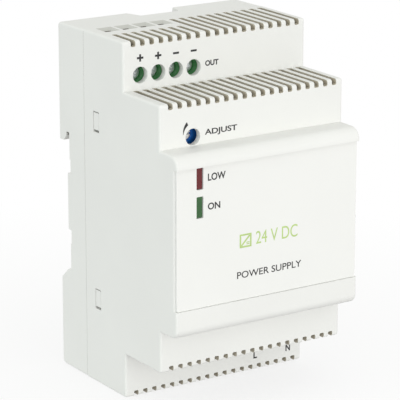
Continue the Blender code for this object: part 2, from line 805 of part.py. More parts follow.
def transformer(x=9.5, z=11.0):
    rear, front = -7.4, -32.5
    piece("transformer_rear_core", e_core(x, z, rear, -1), looks["ferrite"])
    piece("transformer_front_core", e_core(x, z, front, 1), looks["ferrite"])
    spool_rear, spool_front = rear - 3.6, front + 3.6
    tube = box(about(x, 4.7), (spool_front, spool_rear), about(z, 4.7))
    flanges = [
        box(about(x, 8.6), (y - 0.5, y + 0.5), about(z, 8.4))
        for y in (spool_front + 0.5, spool_rear - 0.5)
    ]
    feet = [
        box(about(x, 8.2), (spool_rear - 0.6, ON_BOARD), sorted((z + s * 4.6, z + s * 7.9)))
        for s in (-1, 1)
    ]
    hole = box(about(x, 3.9), (spool_front - 3, spool_rear + 3), about(z, 3.9))
    joins = [together(flanges), together(feet)]
    piece("transformer_bobbin", tube, looks["black_plastic"], joins=joins, cuts=[hole])
    wound = prism(
        rounded_box(about(x, 8.2), about(z, 8.0), 3.0), "y", spool_front + 1.3, spool_rear - 1.3
    )
    bore = box(about(x, 5.0), (spool_front, spool_rear), about(z, 5.0))
    piece("transformer_winding", wound, looks["yellow_tape"], cuts=[bore])


def can_capacitor(name, x, z, radius, length):
    """An aluminium can with a crimped bead near its foot and a pressed top."""
    foot = ON_BOARD
    top = foot - length
    profile = [
        (radius - 0.5, top),
        (radius, top + 0.5),
        (radius, foot - 2.6),
        (radius - 0.5, foot - 2.0),
        (radius, foot - 1.4),
        (radius - 0.3, foot),
    ]
    shade_round(piece(name, turned(profile, (x, z)), looks["capacitor_sleeve"]))


def disc_part(name, look, x, z, radius, half):
    """A dipped disc standing on its edge."""
    centre = (x, ON_BOARD - radius - 1.5)
    disc = cylinder("z", centre, radius, z - half, z + half, segments=20)
    leads = together([box(about(x + s * 2.5, 0.3), (-8.6, ON_BOARD), about(z, 0.3)) for s in (-1, 1)])
    shade_round(piece(name, disc, looks[look], joins=[leads]))


def ring(centre, inner, outer, z):
    """An outer disc and the shape of its hole, along Z."""
    disc = cylinder("z", centre, outer, *z, segments=32)
    hole = cylinder("z", centre, inner, z[0] - 1, z[1] + 1, segments=32)
    return disc, hole


def mains_choke(x=-13.0, z=-22.5):
    """A toroid on its edge with a winding on each side."""
    centre = (x, ON_BOARD - 9.6)
    inner, outer, half, wire = 4.6, 7.9, 3.6, 0.9
    disc, hole = ring(centre, inner, outer, about(z, half))
    shade_round(piece("mains_choke_core", disc, looks["ferrite"], cuts=[hole]))
    for number, side in enumerate((-1, 1), start=1):
        room, spindle = ring(centre, inner - GAP, outer + GAP, about(z, half + GAP))
        core_room = helper(f"core_room_{number}", room)
        cut(core_room, spindle)
        disc, hole = ring(centre, inner - wire, outer + wire, about(z, half + wire))
        other_side = box(sorted((x + side * 1.8, x - side * 20)), (-40, 0), about(z, 10))
        winding = piece(f"mains_choke_winding_{number}", disc, looks["copper"], cuts=[hole, other_side])
        combine(winding, "DIFFERENCE", core_room)


def output_choke(x=5.5, z=38.0):
    foot = ON_BOARD
    rim, waist, height, flange = 4.4, 1.9, 11.5, 1.7
    profile = [
        (rim, foot - height),
        (rim, foot - height + flange),
        (waist, foot - height + flange),
        (waist, foot - flange),
        (rim, foot - flange),
        (rim, foot),
    ]
    drum = turned(profile, (x, z))
    shade_round(piece("output_choke_core", drum, looks["ferrite"]))
    coil = cylinder("y", (x, z), rim - 0.4, foot - height + flange + GAP, foot - flange - GAP)
    bore = cylinder("y", (x, z), waist + GAP, foot - height, foot)
    shade_round(piece("output_choke_winding", coil, looks["copper"], cuts=[bore]))


def power_tab(name, screw_name, plate_name, *, x, plate_z, side, plate_x):
    """A power semiconductor screwed to an upright heat sink plate, on the side that `side` gives."""
    thick = 1.5
    hole_y = -21.2
    plate = box(plate_x, (-30.0, ON_BOARD), about(plate_z, thick / 2))
    plate_hole = cylinder("z", (x, hole_y), 1.5, plate_z - 3, plate_z + 3, segments=16)
    piece(plate_name, plate, looks["aluminium"], cuts=[plate_hole])

    seat = plate_z + side * (thick / 2 + GAP)
    tab = box(about(x, 5.0), (-24.5, -9.0), sorted((seat, seat + side * 1.3)))
    resin = box(about(x, 5.0), (-18.0, -9.2), sorted((seat + side * 0.5, seat + side * 4.4)))
    lead_z = seat + side * 2.6
    leads = [box(about(x + 2.54 * k, 0.4), (-9.8, ON_BOARD), about(lead_z, 0.3)) for k in (-1, 0, 1)]
    tab_hole = cylinder("z", (x, hole_y), 1.8, seat - 3, seat + 3, segments=16)
    piece(name, tab, looks["black_plastic"], joins=[resin, together(leads)], cuts=[tab_hole])

    head = seat + side * (1.3 + GAP)
    screw_head = cylinder("z", (x, hole_y), 2.7, *sorted((head, head + side * 1.8)), segments=20)
    far_end = plate_z - side * 3.0
    shaft = cylinder("z", (x, hole_y), 1.2, *sorted((head + side * 0.5, far_end)), segments=16)
    slot = box(about(x, 4), about(hole_y, 0.35), sorted((head + side * 1.0, head + side * 3)))
    shade_round(piece(screw_name, screw_head, looks["steel"], joins=[shaft], cuts=[slot]))


def small_parts():
    can_capacitor("bulk_capacitor", x=13.5, z=-8.0, radius=7.9, length=31.5)
    can_capacitor("output_capacitor_1", x=16.5, z=26.2, radius=4.9, length=20.0)
    can_capacitor("output_capacitor_2", x=5.0, z=26.2, radius=4.9, length=20.0)
    disc_part("y_capacitor", "blue_dip", x=18.0, z=38.0, radius=4.2, half=1.6)
    disc_part("inrush_thermistor", "dark_dip", x=-6.0, z=-37.0, radius=4.8, half=1.8)
    disc_part("varistor", "red_dip", x=3.6, z=-37.0, radius=4.8, half=1.8)
    box_film = prism(rounded_box((-1.0, 16.5), (-29.8, -21.4), 0.6), "y", -20.2, ON_BOARD)
    piece("mains_filter_capacitor", box_film, looks["yellow_box"])
    bridge = prism(rounded_box((-21.5, -11.5), (-35.2, -31.4), 0.5), "y", -20.5, ON_BOARD)
    piece("bridge_rectifier", bridge, looks["black_plastic"])
    fuse = cylinder("x", (ON_BOARD - 4.2, -39.4), 2.5, -21.5, -12.5, segments=20)
    shade_round(piece("fuse", fuse, looks["ceramic"]))
    piece("optocoupler", box((-9.0, -4.5), (-9.2, ON_BOARD), (11.0, 17.5)), looks["black_plastic"])
    piece("controller_chip", box((-12.5, -7.5), (-7.4, ON_BOARD), (3.0, 7.0)), looks["black_plastic"])


def power_parts():
    names = ("switching_transistor", "transistor_screw", "primary_heat_sink")
    power_tab(*names, x=-12.0, plate_z=-5.0, side=-1, plate_x=(-20.5, -4.5))
    names = ("output_diode", "diode_screw", "secondary_heat_sink")
    power_tab(*names, x=-13.0, plate_z=21.5, side=1, plate_x=(-20.5, -6.0))


# ---- the whole ----

for old in list(bpy.data.objects):
    bpy.data.objects.remove(old, do_unlink=True)

root = bpy.data.objects.new("power_supply", None)
root.location.y = -BOSS_FACE * MM
bpy.context.scene.collection.objects.link(root)

looks = {
    "housing": material("housing", (0.78, 0.79, 0.77), 0.45),
    "plate": material("plate", (0.82, 0.82, 0.78), 0.4),
    "latch": material("latch", (0.62, 0.63, 0.62), 0.45),
    "terminal": material("terminal", (0.06, 0.30, 0.10), 0.45),
    "steel": material("steel", (0.62, 0.62, 0.60), 0.3, metallic=1.0),
    "brass": material("brass", (0.60, 0.52, 0.36), 0.35, metallic=1.0),
    "trimmer": material("trimmer", (0.02, 0.13, 0.45), 0.4),
    "rotor": material("rotor", (0.85, 0.85, 0.83), 0.5),
    "red_lens": material("red_lens", (0.25, 0.04, 0.05), 0.25, transmission=0.4),
    "green_lens": material("green_lens", (0.05, 0.22, 0.08), 0.25, transmission=0.4),
    "board": material("board", (0.03, 0.20, 0.08), 0.5),
    "black_plastic": material("black_plastic", (0.03, 0.03, 0.03), 0.5),
    "ferrite": material("ferrite", (0.06, 0.06, 0.065), 0.6),
    "yellow_tape": material("yellow_tape", (0.70, 0.55, 0.08), 0.45),
    "yellow_box": material("yellow_box", (0.65, 0.48, 0.08), 0.4),
    "capacitor_sleeve": material("capacitor_sleeve", (0.03, 0.035, 0.05), 0.35),
    "copper": material("copper", (0.50, 0.20, 0.09), 0.35, metallic=1.0),
    "aluminium": material("aluminium", (0.70, 0.71, 0.72), 0.4, metallic=1.0),
    "blue_dip": material("blue_dip", (0.05, 0.20, 0.50), 0.4),
    "dark_dip": material("dark_dip", (0.06, 0.07, 0.05), 0.5),
    "red_dip": material("red_dip", (0.45, 0.10, 0.05), 0.45),
    "ceramic": material("ceramic", (0.80, 0.79, 0.75), 0.5),
}

rear_base()
front_cover()
front_plate()
rail_latch()
latch_spring()
terminals()
for lamp_name, lamp_z in zip(("red", "green"), LAMP_HEIGHTS):
    lamp(lamp_name, lamp_z)
trimmer()
boards()
transformer()
mains_choke()
output_choke()
power_parts()
small_parts()
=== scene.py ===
"""Looks for a three-module DIN rail power supply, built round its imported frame.

Lengths are millimetres in the frame's own axes: X to the right, Y from the front to the rail, Z up. A shape
is scaled to metres when it becomes an object. Each piece is made at its rest place, rides on a body of the
frame, and stands for the CAD node that it refines.
"""

import math

import bmesh
import bpy
from mathutils import Matrix, Vector

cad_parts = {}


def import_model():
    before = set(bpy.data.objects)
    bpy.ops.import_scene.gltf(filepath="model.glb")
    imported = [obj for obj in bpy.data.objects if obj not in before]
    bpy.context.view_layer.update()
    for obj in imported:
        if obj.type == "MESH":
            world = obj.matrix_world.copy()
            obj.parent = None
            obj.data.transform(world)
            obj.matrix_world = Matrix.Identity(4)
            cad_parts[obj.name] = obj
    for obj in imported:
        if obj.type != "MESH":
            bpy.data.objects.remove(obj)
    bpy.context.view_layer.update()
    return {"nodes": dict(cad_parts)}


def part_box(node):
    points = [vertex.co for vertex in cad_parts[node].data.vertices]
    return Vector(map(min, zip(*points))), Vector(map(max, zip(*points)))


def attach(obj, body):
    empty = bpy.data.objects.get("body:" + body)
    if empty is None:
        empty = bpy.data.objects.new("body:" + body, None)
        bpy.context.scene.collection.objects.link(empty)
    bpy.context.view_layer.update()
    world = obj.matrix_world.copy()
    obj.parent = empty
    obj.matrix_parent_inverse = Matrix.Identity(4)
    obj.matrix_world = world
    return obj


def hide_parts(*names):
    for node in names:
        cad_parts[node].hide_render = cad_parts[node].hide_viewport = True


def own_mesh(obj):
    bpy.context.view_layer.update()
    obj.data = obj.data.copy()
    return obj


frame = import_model()

MM = 0.001


def frame_box(node):
    """A CAD node's lowest and highest corner at rest, in millimetres."""
    low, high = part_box(node)
    return low / MM, high / MM


def frame_centre(node):
    low, high = frame_box(node)
    return (low + high) / 2


# ---- sizes ----

cover_low, cover_high = frame_box("front_cover")
base_low, base_high = frame_box("rear_base")
plate_low, plate_high = frame_box("front_plate")

SIDE = cover_high.x
TOP = cover_high.z
BOTTOM = cover_low.z
BACK = base_high.y
UPPER_LIP = cover_low.y
PLATE_FACE = plate_low.y
WALL = 1.6
GAP = 0.3
INNER_SIDE = SIDE - WALL

# Housing: the tiers' front planes and heights. SEAT is the plane in which the rail's flanges rest.
SEAT = BACK - 5.0
SEAM = SEAT - 7.6
SEAM_GAP = 0.06
TIER1 = UPPER_LIP + 24.0
TIER2 = UPPER_LIP + 7.7
LOWER_LIP = UPPER_LIP + 0.5
STRIP = PLATE_FACE + 0.6
TIER2_TOP = TOP - 12.15
TIER2_BOTTOM = BOTTOM + 11.35
NOSE_TOP = 22.5
NOSE_BOTTOM = -22.5
EDGE_RADIUS = 0.7
LIP_RADIUS = 3.0
NOSE_FOOT_RADIUS = 2.3
COVER_SIDE_ROUND = 0.62
BASE_SIDE_ROUND = 0.6
BASE_CORNER = 1.0
FINE_EDGE = 0.05

# Front plate: the sheet overlaps the edge of the pocket behind it.
PLATE_TOP = plate_high.z + 0.1
PLATE_BOTTOM = plate_low.z - 0.1
PLATE_HALF = plate_high.x
PLATE_PLAY = 0.05
PLATE_POCKET = 0.85
PLATE_LEDGE_X = 1.1
PLATE_LEDGE_Z = 0.75

# Base: recess for the rail, hook over its upper edge.
RAIL_EDGE = 18.0
HOOK_TIP = 15.5
HOOK_FRONT = SEAT + 1.45
BOSS_FACE = SEAT + 1.0
BOSS_HALF = 7.4
SEAT_START = 11.0
GROOVE = SEAT - 0.4
BASE_FLOOR = SEAT - 1.8
FOOT_BACK_WALL = SEAT + 3.4
NOTCH_FRONT = SEAT - 0.6
NOTCH_NARROW = 5.6
NOTCH_WIDE = 7.2
NOTCH_DEPTH = 6.0
BOARD_SUPPORT = SEAT - 3.5

# Latch and its guide.
LATCH_HALF = 5.8
LATCH_BACK = SEAT + 4.8
LATCH_FRONT = SEAT + 0.6
WING_HALF = 7.4
WING_BACK = SEAT + 2.0
WING_TOP = -19.5
WING_BOTTOM = -35.7
CHANNEL_FLOOR = SEAT + 0.3
POCKET_HALF = 2.3
POCKET_BACK = SEAT + 4.15
POCKET_TOP = -24.0
POCKET_BOTTOM = -35.2
LATCH_TRAVEL = 4.5
SPRING_Y = SEAT + 2.35
SPRING_RADIUS = 1.35
SPRING_WIRE = 0.2
SPRING_LOW = -33.4
SPRING_HIGH = -24.5

# Snap fit between cover and base.
SNAP_Y = (SEAT - 14.65, SEAT - 12.0)
SNAP_HALF = 2.6
SNAP_ARM_HALF = 4.0
SNAP_ARM = 1.2
SNAP_HEIGHTS = (23.45, -22.15)
TAB_RECESS = 0.08
TAB_PLAY = 0.1

# Vents: one row along each horizontal edge.
SLOT_COUNT = 19
SLOT_PITCH = 2.63
SLOT_WIDTH = 1.3
SLOT_SHIFT = 0.25
SLOT_NOTCH = 1.45
SLOT_CORNER = 0.3
SHORT_SLOT_END = SEAT - 17.2
LONG_SLOT_END = SEAT - 9.3
UPPER_SHORT_SLOTS = 8
LOWER_SHORT_SLOTS = 7
RIB_SPLIT = 0.34

# Lamps and trimmer.
LAMP_WIDTH = 1.7
LAMP_HEIGHT = 5.1
LAMPS = {name: frame_centre(f"{name}_light_pipe") for name in ("red", "green")}
TRIMMER = frame_centre("trimmer_rotor")
TRIMMER_HOLE = 2.05

# Terminals.
SCREW_HOLE = 2.05
ENTRY_Y = SEAT - 11.4
FUNNEL_HALF_X = 2.15
FUNNEL_HALF_Y = 2.45
FUNNEL_DEPTH = 0.7
ENTRY_HALF = 1.2
HEAD_SEAT = SEAT - 21.4
CHAMBER_FRONT = SEAT - 18.3
SCREW_SHAFT = 1.2
SLOT_TURNS = [math.radians(angle) for angle in (-28, 38, 52, -64)]
CAGE_HALF_X = 1.85
CAGE_HALF_Z = 3.0
POLES = {
    "output": [frame_centre(f"output_screw_{i}") for i in range(1, 5)],
    "input": [frame_centre(f"input_screw_{i}") for i in range(1, 3)],
}


# ---- outlines, and shapes: a shape is a bmesh that holds closed bodies ----


def prism(points, axis, low, high):
    """The outline `points` extruded along `axis`; they are given in the other two axes, in X, Y, Z order."""
    place = {
        "x": lambda a, b: (low, a, b),
        "y": lambda a, b: (a, low, b),
        "z": lambda a, b: (a, b, low),
    }[axis]
    shape = bmesh.new()
    face = shape.faces.new([shape.verts.new(place(a, b)) for a, b in points])
    grown = bmesh.ops.extrude_face_region(shape, geom=[face])["geom"]
    step = Vector([(high - low) * (axis == name) for name in "xyz"])
    bmesh.ops.translate(shape, vec=step, verts=[v for v in grown if isinstance(v, bmesh.types.BMVert)])
    bmesh.ops.recalc_face_normals(shape, faces=shape.faces)
    return shape


def about(centre, half):
    return (centre - half, centre + half)


def rectangle(a, b):
    """An outline from its (low, high) pair on each of two axes."""
    return [(a[0], b[0]), (a[1], b[0]), (a[1], b[1]), (a[0], b[1])]


def box(x, y, z):
    """A box from its (low, high) pair on each axis."""
    return prism(rectangle(x, y), "z", *z)


def rounded(corners, steps=8):
    """The outline through (a, b, radius) corners, each turned into an arc of its radius."""
    points = []
    count = len(corners)
    for i, (a, b, radius) in enumerate(corners):
        here = Vector((a, b))
        if not radius:
            points.append(here)
            continue
        before = (Vector(corners[i - 1][:2]) - here).normalized()
        after = (Vector(corners[(i + 1) % count][:2]) - here).normalized()
        half = before.angle(after) / 2
        middle = here + (before + after).normalized() * (radius / math.sin(half))
        start = here + before * (radius / math.tan(half)) - middle
        end = here + after * (radius / math.tan(half)) - middle
        sweep = start.angle_signed(end)
        for k in range(steps + 1):
            points.append(middle + Matrix.Rotation(-sweep * k / steps, 2) @ start)
    return points


def rounded_box(a, b, radius, steps=6):
    """The outline of a rectangle with rounded corners, from its (low, high) pairs."""
    return rounded([(*corner, radius) for corner in rectangle(a, b)], steps)


def circle(centre, radius, count):
    turns = [math.tau * k / count for k in range(count)]
    return [(centre[0] + radius * math.cos(t), centre[1] + radius * math.sin(t)) for t in turns]


def cylinder(axis, centre, radius, low, high, segments=48):
    """A cylinder along `axis`; `centre` is in the other two axes."""
    return prism(circle(centre, radius, segments), axis, low, high)


def skinned(rings):
    """A body whose skin runs through rings of points, with flat ends."""
    shape = bmesh.new()
    rings = [[shape.verts.new(point) for point in ring] for ring in rings]
    for first, second in zip(rings, rings[1:]):
        for k in range(len(first)):
            after = (k + 1) % len(first)
            shape.faces.new((first[k], first[after], second[after], second[k]))
    shape.faces.new(rings[0][::-1])
    shape.faces.new(rings[-1])
    bmesh.ops.recalc_face_normals(shape, faces=shape.faces)
    return shape


def turned(profile, centre, segments=64):
    """A solid turned about a line along Y through centre (x, z); profile is (radius, y) from end to end."""
    return skinned([[(x, y, z) for x, z in circle(centre, r, segments)] for r, y in profile])


def tube(path, radius, sides=10):
    """A round bar along the points of `path`."""
    path = [Vector(point) for point in path]
    across = (path[1] - path[0]).orthogonal().normalized()
    rings = []
    for i, point in enumerate(path):
        along = (path[min(i + 1, len(path) - 1)] - path[max(i - 1, 0)]).normalized()
        across = (across - along * across.dot(along)).normalized()
        other = along.cross(across)
        rings.append([point + across * a + other * b for a, b in circle((0, 0), radius, sides)])
    return skinned(rings)


def together(shapes):
    """Several bodies that don't touch, in one bmesh."""
    whole = bmesh.new()
    for shape in shapes:
        mesh = bpy.data.meshes.new("part")
        shape.to_mesh(mesh)
        shape.free()
        whole.from_mesh(mesh)
        bpy.data.meshes.remove(mesh)
    return whole


# ---- objects ----


def shown(name, data):
    """A new object in the scene that shows `data`."""
    obj = bpy.data.objects.new(name, data)
    bpy.context.scene.collection.objects.link(obj)
    return obj


def as_object(name, shape):
    """An object at the frame's origin that shows `shape`, scaled from millimetres to metres."""
    bmesh.ops.scale(shape, vec=(MM, MM, MM), verts=shape.verts)
    mesh = bpy.data.meshes.new(name)
    shape.to_mesh(mesh)
    shape.free()
    return shown(name, mesh)


def as_mesh(obj):
    """The object's mesh with its modifiers applied, or its curve turned into one."""
    bpy.context.view_layer.update()
    return bpy.data.meshes.new_from_object(obj.evaluated_get(bpy.context.evaluated_depsgraph_get()))


def boolean(obj, operation, shapes):
    """Works the shapes in, one after another, and keeps the result as the object's mesh."""
    tools = [as_object(f"{obj.name}_tool", shape) for shape in shapes]
    for tool in tools:
        modifier = obj.modifiers.new(tool.name, "BOOLEAN")
        modifier.operation = operation
        modifier.solver = "EXACT"
        modifier.object = tool
    spent = [obj.data, *(tool.data for tool in tools)]
    obj.data = as_mesh(obj)
    obj.modifiers.clear()
    for tool in tools:
        bpy.data.objects.remove(tool)
    for mesh in spent:
        bpy.data.meshes.remove(mesh)


def join(obj, *shapes):
    boolean(obj, "UNION", shapes)


def cut(obj, *shapes):
    boolean(obj, "DIFFERENCE", shapes)


def soften(obj, width, chosen=lambda edge: True, segments=2):
    """Rounds the mesh's sharp edges that `chosen` picks."""
    sharp_angle = math.radians(32)
    shape = bmesh.new()
    shape.from_mesh(obj.data)
    bmesh.ops.remove_doubles(shape, verts=shape.verts, dist=1e-6)
    bmesh.ops.dissolve_limit(shape, angle_limit=math.radians(0.5), verts=shape.verts, edges=shape.edges)
    edges = [edge for edge in shape.edges if len(edge.link_faces) == 2]
    edges = [edge for edge in edges if edge.calc_face_angle() > sharp_angle and chosen(edge)]
    settings = {"offset": width * MM, "segments": segments, "profile": 0.5, "clamp_overlap": True}
    bmesh.ops.bevel(shape, geom=edges, affect="EDGES", **settings)
    shape.to_mesh(obj.data)
    shape.free()


def dressed(obj, look, node, body="chassis", angle=35):
    """A finished piece: its shading, its look, its body, and the CAD node it stands for, which is hidden."""
    obj.data.materials.clear()
    obj.data.materials.append(looks[look])
    obj.data.shade_smooth()
    obj.data.set_sharp_from_angle(angle=math.radians(angle))
    even = obj.modifiers.new("even_normals", "WEIGHTED_NORMAL")
    even.keep_sharp = True
    even.weight = 80
    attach(obj, body)
    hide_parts(node)
    return obj


def repaint(obj, look, chosen):
    """Gives another look to the faces whose centre, in millimetres, `chosen` picks."""
    obj.data.materials.append(looks[look])
    for face in obj.data.polygons:
        if chosen(face.center / MM):
            face.material_index = len(obj.data.materials) - 1


# ---- materials ----


class Nodes:
    """Adds shader nodes to one material's tree."""

    def __init__(self, tree):
        self.tree = tree

    def add(self, kind, inputs=None, **settings):
        node = self.tree.nodes.new(kind)
        for key, value in settings.items():
            setattr(node, key, value)
        for key, value in (inputs or {}).items():
            if isinstance(value, bpy.types.NodeSocket):
                self.tree.links.new(value, node.inputs[key])
            else:
                node.inputs[key].default_value = value
        return node

    def noise(self, place, size, detail=3.0):
        """Noise whose lumps are about `size` millimetres wide, from 0 to 1."""
        settings = {"Vector": place, "Scale": 1 / (size * MM), "Detail": detail}
        return self.add("ShaderNodeTexNoise", settings).outputs["Fac"]

    def between(self, amount, low, high):
        """`amount`, which runs from about 0.3 to 0.7, spread over low to high."""
        return self.spread(amount, (0.3, 0.7), (low, high))

    def spread(self, value, old, new):
        """`value`, which runs over the pair `old`, spread over the pair `new`."""
        settings = dict(zip(("Value", "From Min", "From Max", "To Min", "To Max"), (value, *old, *new)))
        return self.add("ShaderNodeMapRange", settings).outputs["Result"]

    def mix(self, amount, first, second):
        node = self.tree.nodes.new("ShaderNodeMix")
        node.data_type = "RGBA"
        for place, value in ((0, amount), (6, first), (7, second)):
            if isinstance(value, bpy.types.NodeSocket):
                self.tree.links.new(value, node.inputs[place])
            else:
                node.inputs[place].default_value = (*value, 1)
        return node.outputs[2]


looks = {}


def material(
    name,
    colour,
    roughness,
    *,
    tint=0.03,
    patch=9.0,
    grain=0.0,
    grain_size=0.25,
    lines=None,
    shade=None,
    **values,
):
    """Adds a Principled material to `looks`; lengths are in millimetres.

    Its colour strays by `tint` over patches `patch` wide, its roughness by a tenth, and its surface has a
    grain of depth `grain`. `lines` is (axis, spacing, depth) of fine parallel tool marks. `shade` is
    (colour, reach) of painted shade: the base colour darkens towards the shade colour in openings narrower
    than about `reach`.
    """
    made = bpy.data.materials.new(name)
    made.use_nodes = True
    nodes = Nodes(made.node_tree)
    shader = made.node_tree.nodes["Principled BSDF"]
    place = nodes.add("ShaderNodeTexCoord").outputs["Object"]
    patches = nodes.noise(place, patch)
    darker = [part * (1 - tint) for part in colour]
    lighter = [min(1.0, part * (1 + tint)) for part in colour]
    links = made.node_tree.links
    base_colour = nodes.mix(nodes.between(patches, 0, 1), darker, lighter)
    # Painted shade: ambient occlusion mixes the colour towards `deep` in narrow openings.
    if shade:
        deep, reach = shade
        sky = nodes.add("ShaderNodeAmbientOcclusion", {"Distance": reach * MM}, samples=8, only_local=True)
        base_colour = nodes.mix(nodes.spread(sky.outputs["AO"], (0.08, 0.5), (0, 1)), deep, base_colour)
    links.new(base_colour, shader.inputs["Base Color"])
    smudges = nodes.noise(place, patch / 4, detail=5.0)
    links.new(nodes.between(smudges, roughness * 0.9, roughness * 1.1), shader.inputs["Roughness"])
    normal = None
    if grain:
        settings = {"Height": nodes.noise(place, grain_size, detail=2.0), "Distance": grain * MM}
        normal = nodes.add("ShaderNodeBump", settings).outputs["Normal"]
    if lines:
        axis, spacing, depth = lines
        settings = {"Vector": place, "Scale": 1 / (spacing * MM) / math.tau, "Distortion": 0.4}
        marks = nodes.add("ShaderNodeTexWave", settings, bands_direction=axis).outputs["Fac"]
        settings = {"Height": marks, "Distance": depth * MM}
        if normal:
            settings["Normal"] = normal
        normal = nodes.add("ShaderNodeBump", settings).outputs["Normal"]
    if normal:
        links.new(normal, shader.inputs["Normal"])
    for key, value in values.items():
        shader.inputs[key.replace("_", " ").title()].default_value = value
    looks[name] = made
    return made


# Painted shade: the colour that narrow openings in the housing and slot plastic darken towards, and its reach
# in millimetres.
SHADE = ((0.10, 0.083, 0.056), 5.0)
MOULDED = {"tint": 0.012, "patch": 25, "grain": 0.012, "grain_size": 0.22}
material("housing_plastic", (0.80, 0.80, 0.775), 0.5, **MOULDED, shade=SHADE)
# Painted shade: a darker, warmer copy of the housing plastic for the walls of the vent slots and notches.
material("slot_painted_shade", (0.58, 0.535, 0.435), 0.6, patch=6, shade=SHADE)
# Painted shade: a darker copy of the housing plastic for the sloped funnels of the wire entries.
material("funnel_painted_shade", (0.60, 0.60, 0.56), 0.5, **MOULDED)
material("unlit_inside", (0.20, 0.175, 0.14), 0.7, tint=0.05, grain=0.02)
material("front_plate_plastic", (0.83, 0.83, 0.805), 0.42, tint=0.008, patch=25, grain=0.008, grain_size=0.3)
material("latch_plastic", (0.55, 0.56, 0.55), 0.45, grain=0.012)
material("terminal_plastic", (0.05, 0.24, 0.07), 0.38, tint=0.08, grain=0.01)
material("trimmer_plastic", (0.018, 0.17, 0.64), 0.25, tint=0.06, grain=0.01)
material("rotor_plastic", (0.90, 0.90, 0.89), 0.4, tint=0.02, grain=0.006)

LENS = {"tint": 0.06, "patch": 3.0, "grain": 0.004, "transmission_weight": 0.35}
material("red_lens", (0.23, 0.035, 0.04), 0.22, **LENS)
material("green_lens", (0.07, 0.20, 0.07), 0.22, **LENS)

STEEL = {"metallic": 0.75, "tint": 0.06, "patch": 1.2}
METAL = {"metallic": 1.0}
material("screw_steel", (0.88, 0.90, 0.91), 0.3, **STEEL, lines=("Z", 0.2, 0.003))
material("clamp_metal", (0.62, 0.54, 0.38), 0.33, **METAL, tint=0.08, patch=2.0, lines=("X", 0.25, 0.004))
material("copper_wire", (0.55, 0.19, 0.07), 0.25, **METAL, tint=0.1, patch=1.5)
material("heat_sink_metal", (0.72, 0.73, 0.74), 0.36, **METAL, lines=("X", 0.3, 0.006))
material("tinned_lead", (0.66, 0.66, 0.67), 0.25, **METAL, tint=0.05, patch=1.0)

material("board_laminate", (0.03, 0.17, 0.07), 0.4, tint=0.12, patch=3.0, lines=("X", 0.5, 0.006))
material("black_resin", (0.025, 0.025, 0.027), 0.45, tint=0.15, grain=0.02)
material("ferrite", (0.05, 0.05, 0.055), 0.55, tint=0.15, patch=2.0, grain=0.03, grain_size=0.4)
material("winding_tape", (0.72, 0.55, 0.07), 0.35, tint=0.06, lines=("Y", 1.3, 0.03))
material("capacitor_box", (0.66, 0.47, 0.06), 0.35, grain=0.01)
material("capacitor_sleeve", (0.02, 0.026, 0.05), 0.28, tint=0.1, grain=0.008)
material("fuse_ceramic", (0.78, 0.77, 0.72), 0.4, tint=0.04, grain=0.01)

DIPPED = {"patch": 3.0, "grain_size": 1.2}
material("blue_coating", (0.03, 0.16, 0.45), 0.25, tint=0.1, grain=0.03, **DIPPED)
material("dark_coating", (0.05, 0.065, 0.045), 0.35, tint=0.15, grain=0.04, **DIPPED)
material("red_coating", (0.42, 0.075, 0.03), 0.28, tint=0.12, grain=0.03, **DIPPED)

material("grey_ink", (0.018, 0.018, 0.019), 0.5, tint=0.1, patch=1.5)
material("green_ink", (0.47, 0.62, 0.22), 0.45, tint=0.06, patch=1.5)


# ---- housing ----


def distance_to(outline, a, b):
    """How far the point (a, b) is from a closed outline."""
    point = Vector((a, b))
    nearest = math.inf
    for start, end in zip(outline, outline[1:] + outline[:1]):
        along = end - start
        share = max(0.0, min(1.0, (point - start).dot(along) / along.length_squared))
        nearest = min(nearest, (start + along * share - point).length)
    return nearest


def on_skin(outline, side_round):
    """A test for edges on the outer surface of a shell with this outline in Y and Z.

    The bands that round the side faces off, `side_round` wide, are left alone.
    """
    near = 0.02
    known = {}

    def vertex_on_skin(vert):
        x, y, z = vert.co / MM
        key = (round(y, 3), round(z, 3))
        if key not in known:
            known[key] = distance_to(outline, y, z)
        on_front = known[key] < near and abs(x) < SIDE - side_round - near
        on_side = abs(abs(x) - SIDE) < near and known[key] > side_round + near
        return on_front or on_side

    return lambda edge: all(vertex_on_skin(vert) for vert in edge.verts)


def inside_case(at):
    """True for a point on the inner faces of the walls, or between them."""
    near = 0.05
    return abs(at.x) < INNER_SIDE + near and BOTTOM + WALL - near < at.z < TOP - WALL + near


def deeper_than(outline, depth):
    """A test for points on the inner faces of a shell with this outline and wall thickness."""
    near = 0.05

    def test(at):
        return inside_case(at) and distance_to(outline, at.y, at.z) > depth - near

    return test


def soften_sides(shape, width, segments):
    """Rounds the edges round the two side faces, except those in the seam's plane."""
    edges = []
    for edge in shape.edges:
        a, b = (vert.co for vert in edge.verts)
        at_side = abs(abs(a.x) - SIDE) < 1e-3 and abs(a.x - b.x) < 1e-3
        at_seam = abs(a.y - SEAM) < 2 * SEAM_GAP and abs(b.y - SEAM) < 2 * SEAM_GAP
        if at_side and not at_seam:
            edges.append(edge)
    bmesh.ops.bevel(shape, geom=edges, offset=width, segments=segments, profile=0.5, affect="EDGES")
    return shape


def slot_centres(split):
    for i in range(SLOT_COUNT):
        x = (i - SLOT_COUNT // 2) * SLOT_PITCH + SLOT_SHIFT
        yield x + (split / 2 if i >= UPPER_SHORT_SLOTS else -split / 2)


